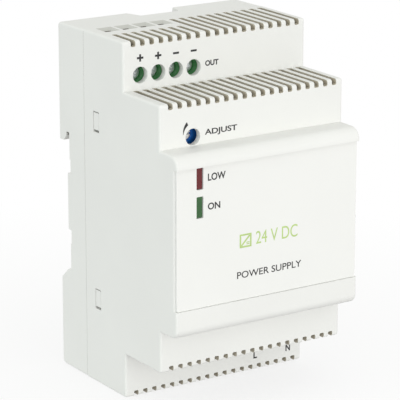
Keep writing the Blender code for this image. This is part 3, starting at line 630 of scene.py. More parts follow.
def vent_row(face, edge, ends, split=0.0):
    """Slots through a tier's horizontal wall, and the notches that they make in its front edge.

    `face` is the tier's front plane, `edge` the wall's outer height, and `ends` gives each slot's rear end.
    """
    out = math.copysign(1, edge)
    beyond = 2.0
    notches, slots = [], []
    for x, end in zip(slot_centres(split), ends):
        low, high = about(x, SLOT_WIDTH / 2)
        notch = [
            (low, edge + out * beyond, 0),
            (low, edge - out * SLOT_NOTCH, SLOT_CORNER),
            (high, edge - out * SLOT_NOTCH, SLOT_CORNER),
            (high, edge + out * beyond, 0),
        ]
        notches.append(prism(rounded(notch, 4), "y", face - beyond, face + WALL + 0.2))
        slot = [
            (low, face + WALL - 0.3, 0),
            (high, face + WALL - 0.3, 0),
            (high, end, SLOT_CORNER),
            (low, end, SLOT_CORNER),
        ]
        heights = sorted((edge + out * beyond, edge - out * (WALL + beyond / 2)))
        slots.append(prism(rounded(slot, 4), "z", *heights))
    return [together(notches), together(slots)]


def in_vent(at):
    """True for a point on the walls of the vent slots and their notches."""
    tiers = ((TIER1, TOP), (TIER1, BOTTOM), (TIER2, TIER2_TOP), (TIER2, TIER2_BOTTOM))
    for face, edge in tiers:
        depth = edge - at.z if edge > 0 else at.z - edge
        if 0.06 < depth < WALL - 0.06 and face + 0.06 < at.y < LONG_SLOT_END + 0.1:
            return abs(at.x) < INNER_SIDE
    return False


def entry_depth(at):
    """How far a point of a wire entry's wall lies below the outer skin; 0 for any other point."""
    poles = POLES["output" if at.z > 0 else "input"]
    beside = any(abs(at.x - pole.x) < FUNNEL_HALF_X for pole in poles)
    if not beside or abs(at.y - ENTRY_Y) > FUNNEL_HALF_Y:
        return 0
    return TOP - at.z if at.z > 0 else at.z - BOTTOM


def wire_entry(x, edge):
    """A terminal's square wire entry through the wall, and the shallow funnel that leads to it."""
    out = math.copysign(1, edge)
    above = 0.5
    spread = 1 + above / FUNNEL_DEPTH
    half_x = ENTRY_HALF + (FUNNEL_HALF_X - ENTRY_HALF) * spread
    half_y = ENTRY_HALF + (FUNNEL_HALF_Y - ENTRY_HALF) * spread
    mouth = rectangle(about(x, half_x), about(ENTRY_Y, half_y))
    throat = rectangle(about(x, ENTRY_HALF), about(ENTRY_Y, ENTRY_HALF))
    ends = ((mouth, edge + out * above), (throat, edge - out * FUNNEL_DEPTH))
    funnel = skinned([[(a, b, z) for a, b in outline] for outline, z in ends])
    plan = rounded_box(about(x, ENTRY_HALF - 0.01), about(ENTRY_Y, ENTRY_HALF - 0.01), 0.2, 3)
    depths = sorted((edge - out * (FUNNEL_DEPTH - 0.1), edge - out * (WALL + 0.4)))
    return funnel, prism(plan, "z", *depths)


def cover_outline():
    corners = [
        (SEAM - SEAM_GAP / 2, TOP, 0),
        (TIER1, TOP, EDGE_RADIUS),
        (TIER1, TIER2_TOP, 0),
        (TIER2, TIER2_TOP, EDGE_RADIUS),
        (TIER2, NOSE_TOP, 0),
        (UPPER_LIP, NOSE_TOP, LIP_RADIUS),
        (LOWER_LIP, PLATE_BOTTOM, 0),
        (LOWER_LIP, NOSE_BOTTOM, NOSE_FOOT_RADIUS),
        (TIER2, NOSE_BOTTOM, 0),
        (TIER2, TIER2_BOTTOM, EDGE_RADIUS),
        (TIER1, TIER2_BOTTOM, 0),
        (TIER1, BOTTOM, EDGE_RADIUS),
        (SEAM - SEAM_GAP / 2, BOTTOM, 0),
    ]
    return rounded(corners)


def plate_step():
    """What is cut from the nose to set the strip behind the front plate back, with the sides rounded off."""
    beyond = 2.0
    centre = SIDE - COVER_SIDE_ROUND
    radius = COVER_SIDE_ROUND + 0.01
    turns = [math.pi / 2 * k / 6 for k in range(7)]
    arc = [(centre + radius * math.cos(t), STRIP + COVER_SIDE_ROUND - radius * math.sin(t)) for t in turns]
    right = [(SIDE + beyond, UPPER_LIP - beyond), (SIDE + beyond, arc[0][1]), *arc]
    left = [(-x, y) for x, y in reversed(right)]
    return prism(right + left, "z", PLATE_BOTTOM, PLATE_TOP)


def cover_cavity():
    """The stepped room inside, from the seam to the floor behind the front plate's pocket."""
    depths = (SEAM + 3, TIER1 + WALL, TIER2 + WALL, STRIP + PLATE_POCKET + WALL)
    steps = list(zip(depths, depths[1:]))
    upper = [(y, top - WALL) for step, top in zip(steps, (TOP, TIER2_TOP, NOSE_TOP)) for y in step]
    lower = [(y, foot + WALL) for step, foot in zip(steps, (BOTTOM, TIER2_BOTTOM, NOSE_BOTTOM)) for y in step]
    return prism(upper + lower[::-1], "x", -INNER_SIDE, INNER_SIDE)


def cover():
    outline = cover_outline()
    block = soften_sides(prism(outline, "x", -SIDE, SIDE), COVER_SIDE_ROUND, 5)
    shell = as_object("front_cover_shell", block)
    pocket = box(
        about(0, PLATE_HALF - PLATE_LEDGE_X),
        (STRIP - 0.5, STRIP + PLATE_POCKET),
        (PLATE_BOTTOM + PLATE_LEDGE_Z, PLATE_TOP - PLATE_LEDGE_Z),
    )
    through = 3.0
    poles = POLES["output"] + POLES["input"]
    holes = [cylinder("y", pole.xz, SCREW_HOLE, TIER1 - 1, TIER1 + through) for pole in poles]
    holes.append(cylinder("y", TRIMMER.xz, TRIMMER_HOLE, TIER2 - 1, TIER2 + through))
    for lamp_at in LAMPS.values():
        opening = rectangle(about(lamp_at.x, LAMP_WIDTH / 2 + GAP), about(lamp_at.z, LAMP_HEIGHT / 2 + GAP))
        holes.append(prism(opening, "y", STRIP - 1, STRIP + 4))
    holes += [
        box(sorted((side * (SIDE - 3), side * (SIDE + 1))), SNAP_Y, about(z, SNAP_HALF))
        for side in (-1, 1)
        for z in SNAP_HEIGHTS
    ]
    entries = [wire_entry(pole.x, TOP) for pole in POLES["output"]]
    entries += [wire_entry(pole.x, BOTTOM) for pole in POLES["input"]]
    entries = [together(group) for group in zip(*entries)]
    upper_ends = [SHORT_SLOT_END] * UPPER_SHORT_SLOTS + [LONG_SLOT_END] * (SLOT_COUNT - UPPER_SHORT_SLOTS)
    lower_ends = [LONG_SLOT_END] * (SLOT_COUNT - LOWER_SHORT_SLOTS) + [SHORT_SLOT_END] * LOWER_SHORT_SLOTS
    tier2_ends = [TIER1 - 0.4] * SLOT_COUNT
    vents = vent_row(TIER1, TOP, upper_ends, RIB_SPLIT) + vent_row(TIER1, BOTTOM, lower_ends)
    vents += vent_row(TIER2, TIER2_TOP, tier2_ends) + vent_row(TIER2, TIER2_BOTTOM, tier2_ends)
    cut(shell, plate_step(), cover_cavity(), pocket, together(holes), *entries, *vents)
    soften(shell, FINE_EDGE, on_skin(outline, COVER_SIDE_ROUND))
    dressed(shell, "housing_plastic", "front_cover")
    repaint(shell, "unlit_inside", deeper_than(outline, WALL))
    # Painted shade on the walls of the vent slots and their notches.
    repaint(shell, "slot_painted_shade", lambda at: in_vent(at) and distance_to(outline, at.y, at.z) > 0.12)
    # Painted shade on the sloped funnels of the wire entries.
    repaint(shell, "funnel_painted_shade", lambda at: entry_depth(at) > 0.02)
    repaint(shell, "unlit_inside", lambda at: entry_depth(at) > FUNNEL_DEPTH - 0.05)


def notch(low, high):
    """The wedge cut from the back of the base, at its top and at its bottom."""
    beyond = BACK + 2
    wide = NOTCH_NARROW + (NOTCH_WIDE - NOTCH_NARROW) / (BACK - NOTCH_FRONT) * (beyond - NOTCH_FRONT)
    outline = [(-NOTCH_NARROW, NOTCH_FRONT), (NOTCH_NARROW, NOTCH_FRONT), (wide, beyond), (-wide, beyond)]
    return prism(outline, "z", low, high)


def snap_arm(side, height):
    """An arm of the base that reaches into the cover, with the tab that fills a window of the cover."""
    inner = INNER_SIDE - GAP - SNAP_ARM
    outer = INNER_SIDE - GAP
    front, back = SNAP_Y
    corners = [
        (inner, BASE_FLOOR + 0.5, 0),
        (inner, front - 0.6, 0.3),
        (outer, front - 0.6, 0.2),
        (outer, front + TAB_PLAY, 0),
        (SIDE - TAB_RECESS - 0.3, front + TAB_PLAY, 0),
        (SIDE - TAB_RECESS, front + TAB_PLAY + 0.3, 0.1),
        (SIDE - TAB_RECESS, back - TAB_PLAY, 0.08),
        (outer, back - TAB_PLAY, 0),
        (outer, SEAM + 0.6, 0),
        (INNER_SIDE + 0.5, SEAM + 0.6, 0),
        (INNER_SIDE + 0.5, BASE_FLOOR + 0.5, 0),
    ]
    outline = rounded(corners, 4)
    tab_z = (height - SNAP_HALF + 0.6, height + SNAP_HALF - 0.3)
    tab = prism([(side * x, y) for x, y in outline], "z", *tab_z)
    leaf_x = sorted((side * inner, side * outer))
    leaf = box(leaf_x, (front - 0.6, SEAM + 1.2), about(height, SNAP_ARM_HALF))
    foot_x = sorted((side * (inner + 0.1), side * (INNER_SIDE + 0.4)))
    foot = box(foot_x, (SEAM + 0.7, BASE_FLOOR + 0.4), about(height, SNAP_ARM_HALF - 0.1))
    return [tab, leaf, foot]


def base_outline():
    corners = [
        (SEAM + SEAM_GAP / 2, TOP - 0.1, 0),
        (SEAM + SEAM_GAP / 2, BOTTOM + 0.1, 0),
        (BACK, BOTTOM + 0.2, BASE_CORNER),
        (BACK, TOP - 0.3, BASE_CORNER),
    ]
    return rounded(corners, 6)


def rail_recess():
    """The room for the rail: from the latch's side, past the boss in the middle, to the hook's side."""
    beyond = 2.0
    flank = 3.2 / (BACK - SEAT - 1.3)
    corners = [
        (BACK + beyond, -RAIL_EDGE - 3.2 - beyond * flank, 0),
        (SEAT + 1.3, -RAIL_EDGE, 0.3),
        (SEAT, -RAIL_EDGE, 0.2),
        (SEAT, -SEAT_START, 0.15),
        (GROOVE, -SEAT_START, 0.1),
        (GROOVE, -BOSS_HALF, 0.1),
        (BOSS_FACE, -BOSS_HALF, 0.3),
        (BOSS_FACE, BOSS_HALF, 0.3),
        (GROOVE, BOSS_HALF, 0.1),
        (GROOVE, SEAT_START, 0.1),
        (SEAT, SEAT_START, 0.15),
        (SEAT, RAIL_EDGE, 0.3),
        (HOOK_FRONT, RAIL_EDGE, 0.3),
        (HOOK_FRONT, HOOK_TIP + 1.4, 0.3),
        (HOOK_FRONT + 1.3, HOOK_TIP, 0.3),
        (BACK + beyond, HOOK_TIP, 0),
    ]
    outline = rounded(corners, 5)
    return prism(outline, "x", -SIDE - beyond, SIDE + beyond)


def base():
    outline = base_outline()
    block = soften_sides(prism(outline, "x", -SIDE, SIDE), BASE_SIDE_ROUND, 4)
    shell = as_object("rear_base_shell", block)
    inner_top = TOP - WALL
    inner_bottom = BOTTOM + WALL
    cavity = box((-INNER_SIDE, INNER_SIDE), (SEAM - 5, BASE_FLOOR), (inner_bottom, inner_top))
    foot = (BASE_FLOOR - 1, FOOT_BACK_WALL)
    beside_notch = NOTCH_WIDE + WALL
    above_hook = RAIL_EDGE + WALL
    below_notch = TOP - NOTCH_DEPTH - WALL
    upper_pockets = together(
        [
            box((-INNER_SIDE, -beside_notch), foot, (above_hook, inner_top - 0.7)),
            box((beside_notch, INNER_SIDE), foot, (above_hook, inner_top - 0.7)),
            box((-beside_notch + 1, beside_notch - 1), foot, (above_hook, below_notch)),
        ]
    )
    beside_channel = WING_HALF + GAP + WALL
    lower_pockets = together(
        [
            box((-INNER_SIDE, -beside_channel), foot, (inner_bottom + 0.4, -RAIL_EDGE - 5.5)),
            box((beside_channel, INNER_SIDE), foot, (inner_bottom + 0.4, -RAIL_EDGE - 5.5)),
        ]
    )
    open_end = 3.0
    guide = box(
        about(0, LATCH_HALF + GAP),
        (CHANNEL_FLOOR, BACK + open_end),
        (BOTTOM - open_end, 0.5 - RAIL_EDGE + open_end),
    )
    wing_room = box(
        about(0, WING_HALF + GAP),
        (CHANNEL_FLOOR, WING_BACK + GAP),
        (WING_BOTTOM - LATCH_TRAVEL - GAP, WING_TOP + GAP),
    )
    ledge = box(
        about(0, POCKET_HALF - GAP),
        (CHANNEL_FLOOR - 0.5, POCKET_BACK - GAP),
        (POCKET_BOTTOM + GAP, SPRING_LOW - SPRING_WIRE - GAP),
    )
    board_ribs = [box(about(x, 0.8), (BOARD_SUPPORT, BASE_FLOOR + 0.5), (-40.0, 40.0)) for x in (-18.0, 18.0)]
    arms = [shape for side in (-1, 1) for z in SNAP_HEIGHTS for shape in snap_arm(side, z)]
    notches = [notch(TOP - NOTCH_DEPTH, TOP + open_end), notch(BOTTOM - open_end, BOTTOM + NOTCH_DEPTH)]
    pockets = [cavity, upper_pockets, lower_pockets, guide, wing_room]
    cut(shell, rail_recess(), *pockets, *notches)
    join(shell, ledge, *board_ribs, *arms)
    soften(shell, FINE_EDGE, on_skin(outline, BASE_SIDE_ROUND))
    dressed(shell, "housing_plastic", "rear_base")
    repaint(shell, "unlit_inside", lambda at: inside_case(at) and at.y < BASE_FLOOR + 0.1)


def plate():
    sheet_x, sheet_z = (-PLATE_HALF, PLATE_HALF), (PLATE_BOTTOM + PLATE_PLAY, PLATE_TOP - PLATE_PLAY)
    sheet = prism(rounded_box(sheet_x, sheet_z, 0.35, 4), "y", PLATE_FACE, STRIP - SEAM_GAP)
    shell = as_object("front_plate_sheet", sheet)
    pad = box(
        about(0, PLATE_HALF - PLATE_LEDGE_X - GAP),
        (STRIP - SEAM_GAP - 0.2, STRIP + PLATE_POCKET - GAP),
        (PLATE_BOTTOM + PLATE_LEDGE_Z + GAP, PLATE_TOP - PLATE_LEDGE_Z - GAP),
    )
    half_x, half_z = LAMP_WIDTH / 2 + 0.1, LAMP_HEIGHT / 2 + 0.1
    windows = []
    for lamp_at in LAMPS.values():
        opening = rounded_box(about(lamp_at.x, half_x), about(lamp_at.z, half_z), 0.15, 3)
        windows.append(prism(opening, "y", PLATE_FACE - 1, STRIP + 2))
    join(shell, pad)
    cut(shell, together(windows))
    soften(shell, 0.06, lambda edge: all(vert.co.y < (PLATE_FACE + 0.05) * MM for vert in edge.verts))
    dressed(shell, "front_plate_plastic", "front_plate")


# ---- rail latch ----


def latch():
    """The sprung foot: its nose grips the rail's lower edge, its wings run in the base's guide."""
    tip = 2.3 - RAIL_EDGE
    corners = [
        (LATCH_FRONT, -RAIL_EDGE, 0.2),
        (HOOK_FRONT, -RAIL_EDGE, 0),
        (HOOK_FRONT, tip, 0.2),
        (HOOK_FRONT + 0.6, tip, 0.3),
        (LATCH_BACK, tip - 3.4, 0.6),
        (LATCH_BACK, BOTTOM + 0.15, 0.6),
        (LATCH_FRONT, BOTTOM + 0.15, 0.3),
    ]
    outline = rounded(corners, 5)
    wings = box(about(0, WING_HALF), (LATCH_FRONT, WING_BACK), (WING_BOTTOM, WING_TOP))
    pocket = box(about(0, POCKET_HALF), (LATCH_FRONT - 1, POCKET_BACK), (POCKET_BOTTOM, POCKET_TOP))
    slot_outline = rounded_box(about(0, 2.5), (BOTTOM + 1.9, BOTTOM + 3.6), 0.5)
    pull_slot = prism(slot_outline, "y", LATCH_FRONT - 1, LATCH_BACK + 1)
    grip = [
        cylinder("x", (LATCH_BACK + 0.35, z), 0.6, -LATCH_HALF + 1.0, LATCH_HALF - 1.0, 24)
        for z in (BOTTOM + 5.2, BOTTOM + 6.7, BOTTOM + 8.2)
    ]
    slide = as_object("rail_latch_slide", prism(outline, "x", -LATCH_HALF, LATCH_HALF))
    join(slide, wings)
    cut(slide, pocket, pull_slot, together(grip))
    soften(slide, 0.2, segments=3)
    dressed(slide, "latch_plastic", "rail_latch", "latch")


def spring():
    """A compression spring whose last turns lie close together at each end."""
    turns, closed, steps = 8, 1.1, 28
    active = SPRING_HIGH - SPRING_LOW - 4 * SPRING_WIRE * closed
    path = []
    for k in range(turns * steps + 1):
        turn = k / steps
        low_end = min(turn, closed)
        high_end = max(0.0, turn - (turns - closed))
        middle = (turn - low_end - high_end) / (turns - 2 * closed)
        z = SPRING_LOW + 2 * SPRING_WIRE * (low_end + high_end) + active * middle
        angle = math.tau * turn
        x = SPRING_RADIUS * math.cos(angle)
        path.append((x, SPRING_Y + SPRING_RADIUS * math.sin(angle), z))
    coil = as_object("latch_spring_coil", tube(path, SPRING_WIRE))
    dressed(coil, "screw_steel", "latch_spring", angle=50)
    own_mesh(coil)


# ---- terminals ----


def terminal_block(row, poles):
    """A block whose screws face the front and whose wires enter through the face next to the edge."""
    name = f"{row}_terminal_block"
    low, high = frame_box(name)
    screw_z = poles[0].z
    out = math.copysign(1, screw_z)
    mouth = high.z if out > 0 else low.z
    block = as_object(f"{name}_body", box(*zip(low, high)))
    bore = [
        (SCREW_HOLE + 0.25, low.y - 1),
        (SCREW_HOLE + 0.25, low.y),
        (SCREW_HOLE - 0.1, low.y + 0.35),
        (SCREW_HOLE - 0.1, HEAD_SEAT),
    ]
    bores = [turned(bore, pole.xz) for pole in poles]
    shaft = (SCREW_SHAFT + GAP, HEAD_SEAT - 1, CHAMBER_FRONT + 1)
    shafts = [cylinder("y", pole.xz, *shaft) for pole in poles]
    chambers = [
        box(about(pole.x, CAGE_HALF_X + GAP), (CHAMBER_FRONT, high.y + 1), about(screw_z, CAGE_HALF_Z + GAP))
        for pole in poles
    ]
    entries = [
        box(about(pole.x, 1.6), about(ENTRY_Y, 1.8), sorted((screw_z + out * CAGE_HALF_Z, mouth + out)))
        for pole in poles
    ]
    middles = [(a.x + b.x) / 2 for a, b in zip(poles, poles[1:])]
    grooves = [box(about(x, 0.25), (low.y - 1, low.y + 0.6), (low.z - 1, high.z + 1)) for x in middles]
    grooves += [box(about(x, 0.25), (low.y - 1, high.y + 1), about(mouth, 0.5)) for x in middles]
    cut(block, together(bores), together(shafts), together(chambers), together(entries))
    cut(block, *grooves)
    soften(block, 0.14)
    dressed(block, "terminal_plastic", name)


def threaded_shank(centre, start, tip):
    """A rod with a helical thread that fades out towards its tip."""
    core, pitch, rows, sides = SCREW_SHAFT - 0.22, 0.5, 6, 32
    count = int((tip - start) / pitch * rows)
    rings = []
    for j in range(count + 1):
        y = start + (tip - start) * j / count
        height = (SCREW_SHAFT - core) * min(1.0, (tip - y) / 0.8)
        ring = []
        for k, (a, b) in enumerate(circle((0, 0), 1, sides)):
            phase = (y / pitch - k / sides) % 1
            reach = core + height * min(1.0, 1.35 * abs(2 * phase - 1))
            ring.append((centre[0] + reach * a, y, centre[1] + reach * b))
        rings.append(ring)
    return skinned(rings)


def terminal_screw(row, number, pole):
    """A cheese-head screw with a slot and a short cross-slot; its ends are the CAD screw's own."""
    name = f"{row}_screw_{number}"
    low, high = frame_box(name)
    radius, seat = 1.8, HEAD_SEAT - GAP
    head = [
        (0.4, low.y),
        (1.0, low.y + 0.04),
        (radius - 0.45, low.y + 0.12),
        (radius - 0.18, low.y + 0.24),
        (radius, low.y + 0.45),
        (radius, seat - 0.1),
        (radius - 0.1, seat),
        (SCREW_SHAFT, seat),
    ]
    screw = as_object(f"{name}_body", turned(head, pole.xz, 48))
    join(screw, threaded_shank(pole.xz, seat - 0.3, high.y))
    slots = [
        box(about(0, 3), (low.y - 1, low.y + 0.75), about(0, 0.26)),
        box(about(0, 0.22), (low.y - 1, low.y + 0.65), about(0, 1.1)),
    ]
    turn = Matrix.Translation((pole.x, 0, pole.z)) @ Matrix.Rotation(SLOT_TURNS[number - 1], 4, "Y")
    for shape in slots:
        bmesh.ops.transform(shape, matrix=turn, verts=shape.verts)
    cut(screw, *slots)
    dressed(screw, "screw_steel", name, f"{name}_body", angle=30)


def wire_clamp(row, number, pole):
    name = f"{row}_clamp_{number}"
    low, high = frame_box(name)
    outline = rounded_box((low.x, high.x), (low.y, high.y), 0.4)
    cage = as_object(f"{name}_cage", prism(outline, "z", low.z, high.z))
    window = rounded_box((low.x + 0.45, high.x - 0.45), (low.y + 1.4, high.y - 1.3), 0.3)
    thread = cylinder("y", pole.xz, SCREW_SHAFT + GAP, low.y - 1, low.y + 1.9)
    wide = (low.x - 1, high.x + 1)
    teeth = [box(wide, about(high.y - 1.3, 0.12), about(pole.z + 0.9 * k, 0.14)) for k in range(-2, 3)]
    cut(cage, prism(window, "z", low.z - 1, high.z + 1), thread, together(teeth))
    soften(cage, 0.1)
    dressed(cage, "clamp_metal", name, f"{name}_body")


def terminals():
    for row, poles in POLES.items():
        terminal_block(row, poles)
        for number, pole in enumerate(poles, start=1):
            terminal_screw(row, number, pole)
            wire_clamp(row, number, pole)


# ---- lamps and trimmer ----


def lamp(name, centre):
    low, high = frame_box(f"{name}_light_pipe")
    opening = rounded_box(about(centre.x, LAMP_WIDTH / 2), about(centre.z, LAMP_HEIGHT / 2), 0.12, 3)
    flange_y = STRIP + PLATE_POCKET + WALL + GAP
    pipe = as_object(f"{name}_lamp_pane", prism(opening, "y", low.y, high.y))
    flange = rounded_box((low.x, high.x), (low.z, high.z), 0.4, 4)
    join(pipe, prism(flange, "y", flange_y, flange_y + 1.0))
    soften(pipe, 0.1)
    dressed(pipe, f"{name}_lens", f"{name}_light_pipe")

    low, high = frame_box(f"{name}_led")
    middle = frame_centre(f"{name}_led")
    dome, rim = 1.5, 1.8
    turns = [math.radians(angle) for angle in range(9, 91, 9)]
    profile = [(dome * math.sin(t), low.y + dome * (1 - math.cos(t))) for t in turns]
    profile += [(dome, high.y - 1.1), (rim, high.y - 1.0), (rim, high.y - 0.1), (rim - 0.1, high.y)]
    bulb = as_object(f"{name}_led_bulb", turned(profile, middle.xz, 40))
    dressed(bulb, f"{name}_lens", f"{name}_led")


def trimmer():
    centre = TRIMMER.xz
    low, high = frame_box("trimmer_body")
    rotor_low, rotor_high = frame_box("trimmer_rotor")
    radius = (rotor_high.x - rotor_low.x) / 2
    outline = rounded_box((low.x, high.x), (low.z, high.z), 0.5)
    case = as_object("trimmer_case", prism(outline, "y", low.y, high.y))
    well = cylinder("y", centre, radius + GAP, low.y - 1, low.y + 1.6, 64)
    ticks = [
        box(about(TRIMMER.x + side * 2.4, 0.35), (low.y - 1, low.y + 0.15), about(TRIMMER.z - 2.2, 0.35))
        for side in (-1, 1)
    ]
    cut(case, well, together(ticks))
    soften(case, 0.15)
    dressed(case, "trimmer_plastic", "trimmer_body")

    profile = [(radius - 0.12, rotor_low.y), (radius, rotor_low.y + 0.12), (radius, rotor_high.y)]
    rotor = as_object("trimmer_dial", turned(profile, centre, 64))
    face = rotor_low.y
    slot = box(about(TRIMMER.x, 2.5), (face - 1, face + 0.7), about(TRIMMER.z, 0.28))
    pointer = cylinder("y", (TRIMMER.x + 0.85, TRIMMER.z + 0.7), 0.17, face - 1, face + 0.25, 16)
    cut(rotor, slot, pointer)
    soften(rotor, 0.05, segments=1)
    dressed(rotor, "rotor_plastic", "trimmer_rotor", "trimmer_knob")


# ---- inside: boards and parts, seen through the slots and when the casing is open ----


def refined(node, look, width=0.15, segments=2):
    """The CAD node's own shape with its sharp edges rounded."""
    obj = shown(f"{node}_part", frame["nodes"][node].data.copy())
    soften(obj, width, segments=segments)
    return dressed(obj, look, node)


def can_capacitor(node):
    """An aluminium can in a sleeve: crimped near its foot, its bare top scored so that it can vent."""
    low, high = frame_box(node)
    radius = (high.x - low.x) / 2
    centre = frame_centre(node).xz
    profile = [
        (radius - 1.3, low.y + 0.25),
        (radius - 1.2, low.y + 0.05),
        (radius - 0.9, low.y),
        (radius - 0.35, low.y + 0.1),
        (radius - 0.1, low.y + 0.35),
        (radius, low.y + 0.8),
        (radius, high.y - 2.9),
        (radius - 0.2, high.y - 2.5),
        (radius - 0.5, high.y - 2.15),
        (radius - 0.5, high.y - 1.85),
        (radius - 0.2, high.y - 1.5),
        (radius, high.y - 1.15),
        (radius, high.y - 0.35),
        (radius - 0.3, high.y),
    ]
    can = as_object(f"{node}_can", turned(profile, centre, 72))
    score = radius * 0.62
    cross = [
        box(about(centre.x, a), (low.y - 1, low.y + 0.4), about(centre.y, b))
        for a, b in ((score, 0.14), (0.14, score))
    ]
    cut(can, *cross)
    dressed(can, "capacitor_sleeve", node)
    repaint(can, "heat_sink_metal", lambda at: at.y < low.y + 0.3)


def dipped_disc(node, coating):
    """A disc with a thick rounded coating and two bare leads."""
    low, high = frame_box(node)
    radius = (high.x - low.x) / 2
    x, y, z = (low.x + high.x) / 2, low.y + radius, (low.z + high.z) / 2
    disc = as_object(f"{node}_disc", cylinder("z", (x, y), radius, low.z, high.z, 64))
    soften(disc, (high.z - low.z) * 0.42, segments=6)
    for side in (-1, 1):
        lead = [(x + side * 2.5, y + radius * 0.6, z), (x + side * 2.5, high.y, z)]
        join(disc, tube(lead, 0.3, 12))
    dressed(disc, coating, node)
    repaint(disc, "tinned_lead", lambda at: at.y > y + radius * 0.97)


def toroid_winding(number, side):
    """Wire wound round one half of the mains choke's core."""
    node = f"mains_choke_winding_{number}"
    centre = frame_centre("mains_choke_core")
    outer, _, half = frame_box("mains_choke_core")[1] - centre
    x, y, z = centre
    thickness = 3.3
    wire, clear, turns, steps = 0.29, 0.35, 15, 20
    first, last = math.radians(27), math.radians(153)
    across, along = thickness / 2 + clear + wire, half + clear + wire
    path = []
    for k in range(turns * steps + 1):
        angle = first + (last - first) * k / (turns * steps)
        turn = math.tau * k / steps
        reach = 1 / (abs(math.cos(turn)) ** 6 + abs(math.sin(turn)) ** 6) ** (1 / 6)
        radius = outer - thickness / 2 + across * reach * math.cos(turn)
        up = along * reach * math.sin(turn)
        path.append((x + side * radius * math.sin(angle), y + radius * math.cos(angle), z + up))
    coil = as_object(f"{node}_coil", tube(path, wire, 8))
    dressed(coil, "copper_wire", node, angle=60)


def drum_winding():
    """Three layers of wire on the output choke's drum."""
    node = "output_choke_winding"
    low, high = frame_box(node)
    x, z = frame_centre(node).xz
    wire, steps, layers = 0.26, 20, 3
    rise = high.y - low.y - 2 * wire
    turns = int(rise / (2 * wire + 0.03))
    outer = (high.x - low.x) / 2 - wire
    path = []
    for layer in range(layers):
        radius = outer - (layers - 1 - layer) * 2.15 * wire
        count = turns * steps - steps // 2
        for k in range(count):
            share = k / count
            share = share if layer % 2 == 0 else 1 - share
            angle = math.tau * k / steps + layer * math.pi
            y = low.y + wire + rise * share
            path.append((x + radius * math.cos(angle), y, z + radius * math.sin(angle)))
    coil = as_object(f"{node}_coil", tube(path, wire, 8))
    dressed(coil, "copper_wire", node, angle=60)


def chip(node, rows, leg_pitch=1.27):
    """A moulded body with bent legs along both of its sides; the legs end at the CAD box's sides."""
    low, high = frame_box(node)
    reach, thick = 0.9, 0.25
    package = box((low.x + reach, high.x - reach), (low.y, high.y - 0.25), (low.z, high.z))
    body = as_object(f"{node}_package", package)
    soften(body, 0.12)
    _, shoulder, middle = frame_centre(node)
    legs = []
    for side, edge in ((-1, low.x), (1, high.x)):
        outline = [
            (edge - side * (reach + 0.4), shoulder),
            (edge - side * 0.35, shoulder),
            (edge - side * 0.35, high.y - thick),
            (edge, high.y - thick),
            (edge, high.y),
            (edge - side * 0.6, high.y),
            (edge - side * 0.6, shoulder + thick),
            (edge - side * (reach + 0.4), shoulder + thick),
        ]
        for row in range(rows):
            z = middle + (row - (rows - 1) / 2) * leg_pitch
            legs.append(prism(outline, "z", *about(z, 0.22)))
    join(body, *legs)
    dressed(body, "black_resin", node)
    inside_x = (low.x + reach - 0.02, high.x - reach + 0.02)
    repaint(body, "tinned_lead", lambda at: not inside_x[0] < at.x < inside_x[1])


def fuse():
    low, high = frame_box("fuse")
    centre = frame_centre("fuse").yz
    radius, cap = (high.z - low.z) / 2, 2.4
    barrel = as_object("fuse_tube", cylinder("x", centre, radius - 0.25, low.x + 0.5, high.x - 0.5))
    caps = [cylinder("x", centre, radius, *ends) for ends in ((low.x, low.x + cap), (high.x - cap, high.x))]
    join(barrel, *caps)
    soften(barrel, 0.15)
    dressed(barrel, "fuse_ceramic", "fuse")
    repaint(barrel, "tinned_lead", lambda at: not low.x + cap < at.x < high.x - cap)


def power_tab(node, screw):
    """A power semiconductor: resin between its bare metal tab in front and its bare legs behind."""
    front = frame_box(node)[0].y
    resin_front, resin_back = front + 6.4, front + 15.35
    tab = refined(node, "black_resin")
    repaint(tab, "tinned_lead", lambda at: not resin_front < at.y < resin_back)
    refined(screw, "screw_steel")


def inside():
    for node in ("bulk_capacitor", "output_capacitor_1", "output_capacitor_2"):
        can_capacitor(node)
    dipped_disc("y_capacitor", "blue_coating")
    dipped_disc("inrush_thermistor", "dark_coating")
    dipped_disc("varistor", "red_coating")
    toroid_winding(1, -1)
    toroid_winding(2, 1)
    drum_winding()
    chip("controller_chip", 4, 0.9)
    chip("optocoupler", 2, 2.54)
    fuse()
    power_tab("switching_transistor", "transistor_screw")
    power_tab("output_diode", "diode_screw")
    for node in ("main_board", "lamp_board"):
        refined(node, "board_laminate", 0.08)
    for node in ("board_header", "bridge_rectifier", "transformer_bobbin"):
        refined(node, "black_resin", 0.12)
    for node in ("transformer_rear_core", "transformer_front_core", "output_choke_core"):
        refined(node, "ferrite", 0.25)
    refined("mains_choke_core", "ferrite", 0.5, segments=4)
    refined("transformer_winding", "winding_tape", 0.3, segments=3)
    refined("mains_filter_capacitor", "capacitor_box", 0.4, segments=3)
    for node in ("primary_heat_sink", "secondary_heat_sink"):
        refined(node, "heat_sink_metal", 0.12)


# ---- printed marks ----

INK_HEIGHT = 0.025


def printed(obj, ink):
    obj.data.materials.clear()
    obj.data.materials.append(looks[f"{ink}_ink"])
    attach(obj, "chassis")


def words(name, text, x, z, face, ink="grey", weight=0.022):
    """Text fitted into the box x by z (each a low, high pair) on a front face at y = face."""
    curve = bpy.data.curves.new(name, "FONT")
    curve.body = text
    curve.extrude = INK_HEIGHT
    curve.offset = weight
    made = shown(f"{name}_curve", curve)
    mesh = as_mesh(made)
    bpy.data.objects.remove(made)
    shape = bmesh.new()
    shape.from_mesh(mesh)
    bpy.data.meshes.remove(mesh)
    bmesh.ops.remove_doubles(shape, verts=shape.verts, dist=1e-5)
    across = [vert.co.x for vert in shape.verts]
    up = [vert.co.y for vert in shape.verts]
    wide = (x[1] - x[0]) / (max(across) - min(across))
    tall = (z[1] - z[0]) / (max(up) - min(up))
    for vert in shape.verts:
        a, b, c = vert.co
        vert.co = (x[0] + (a - min(across)) * wide, face - c, z[0] + (b - min(up)) * tall)
    printed(as_object(name, shape), ink)


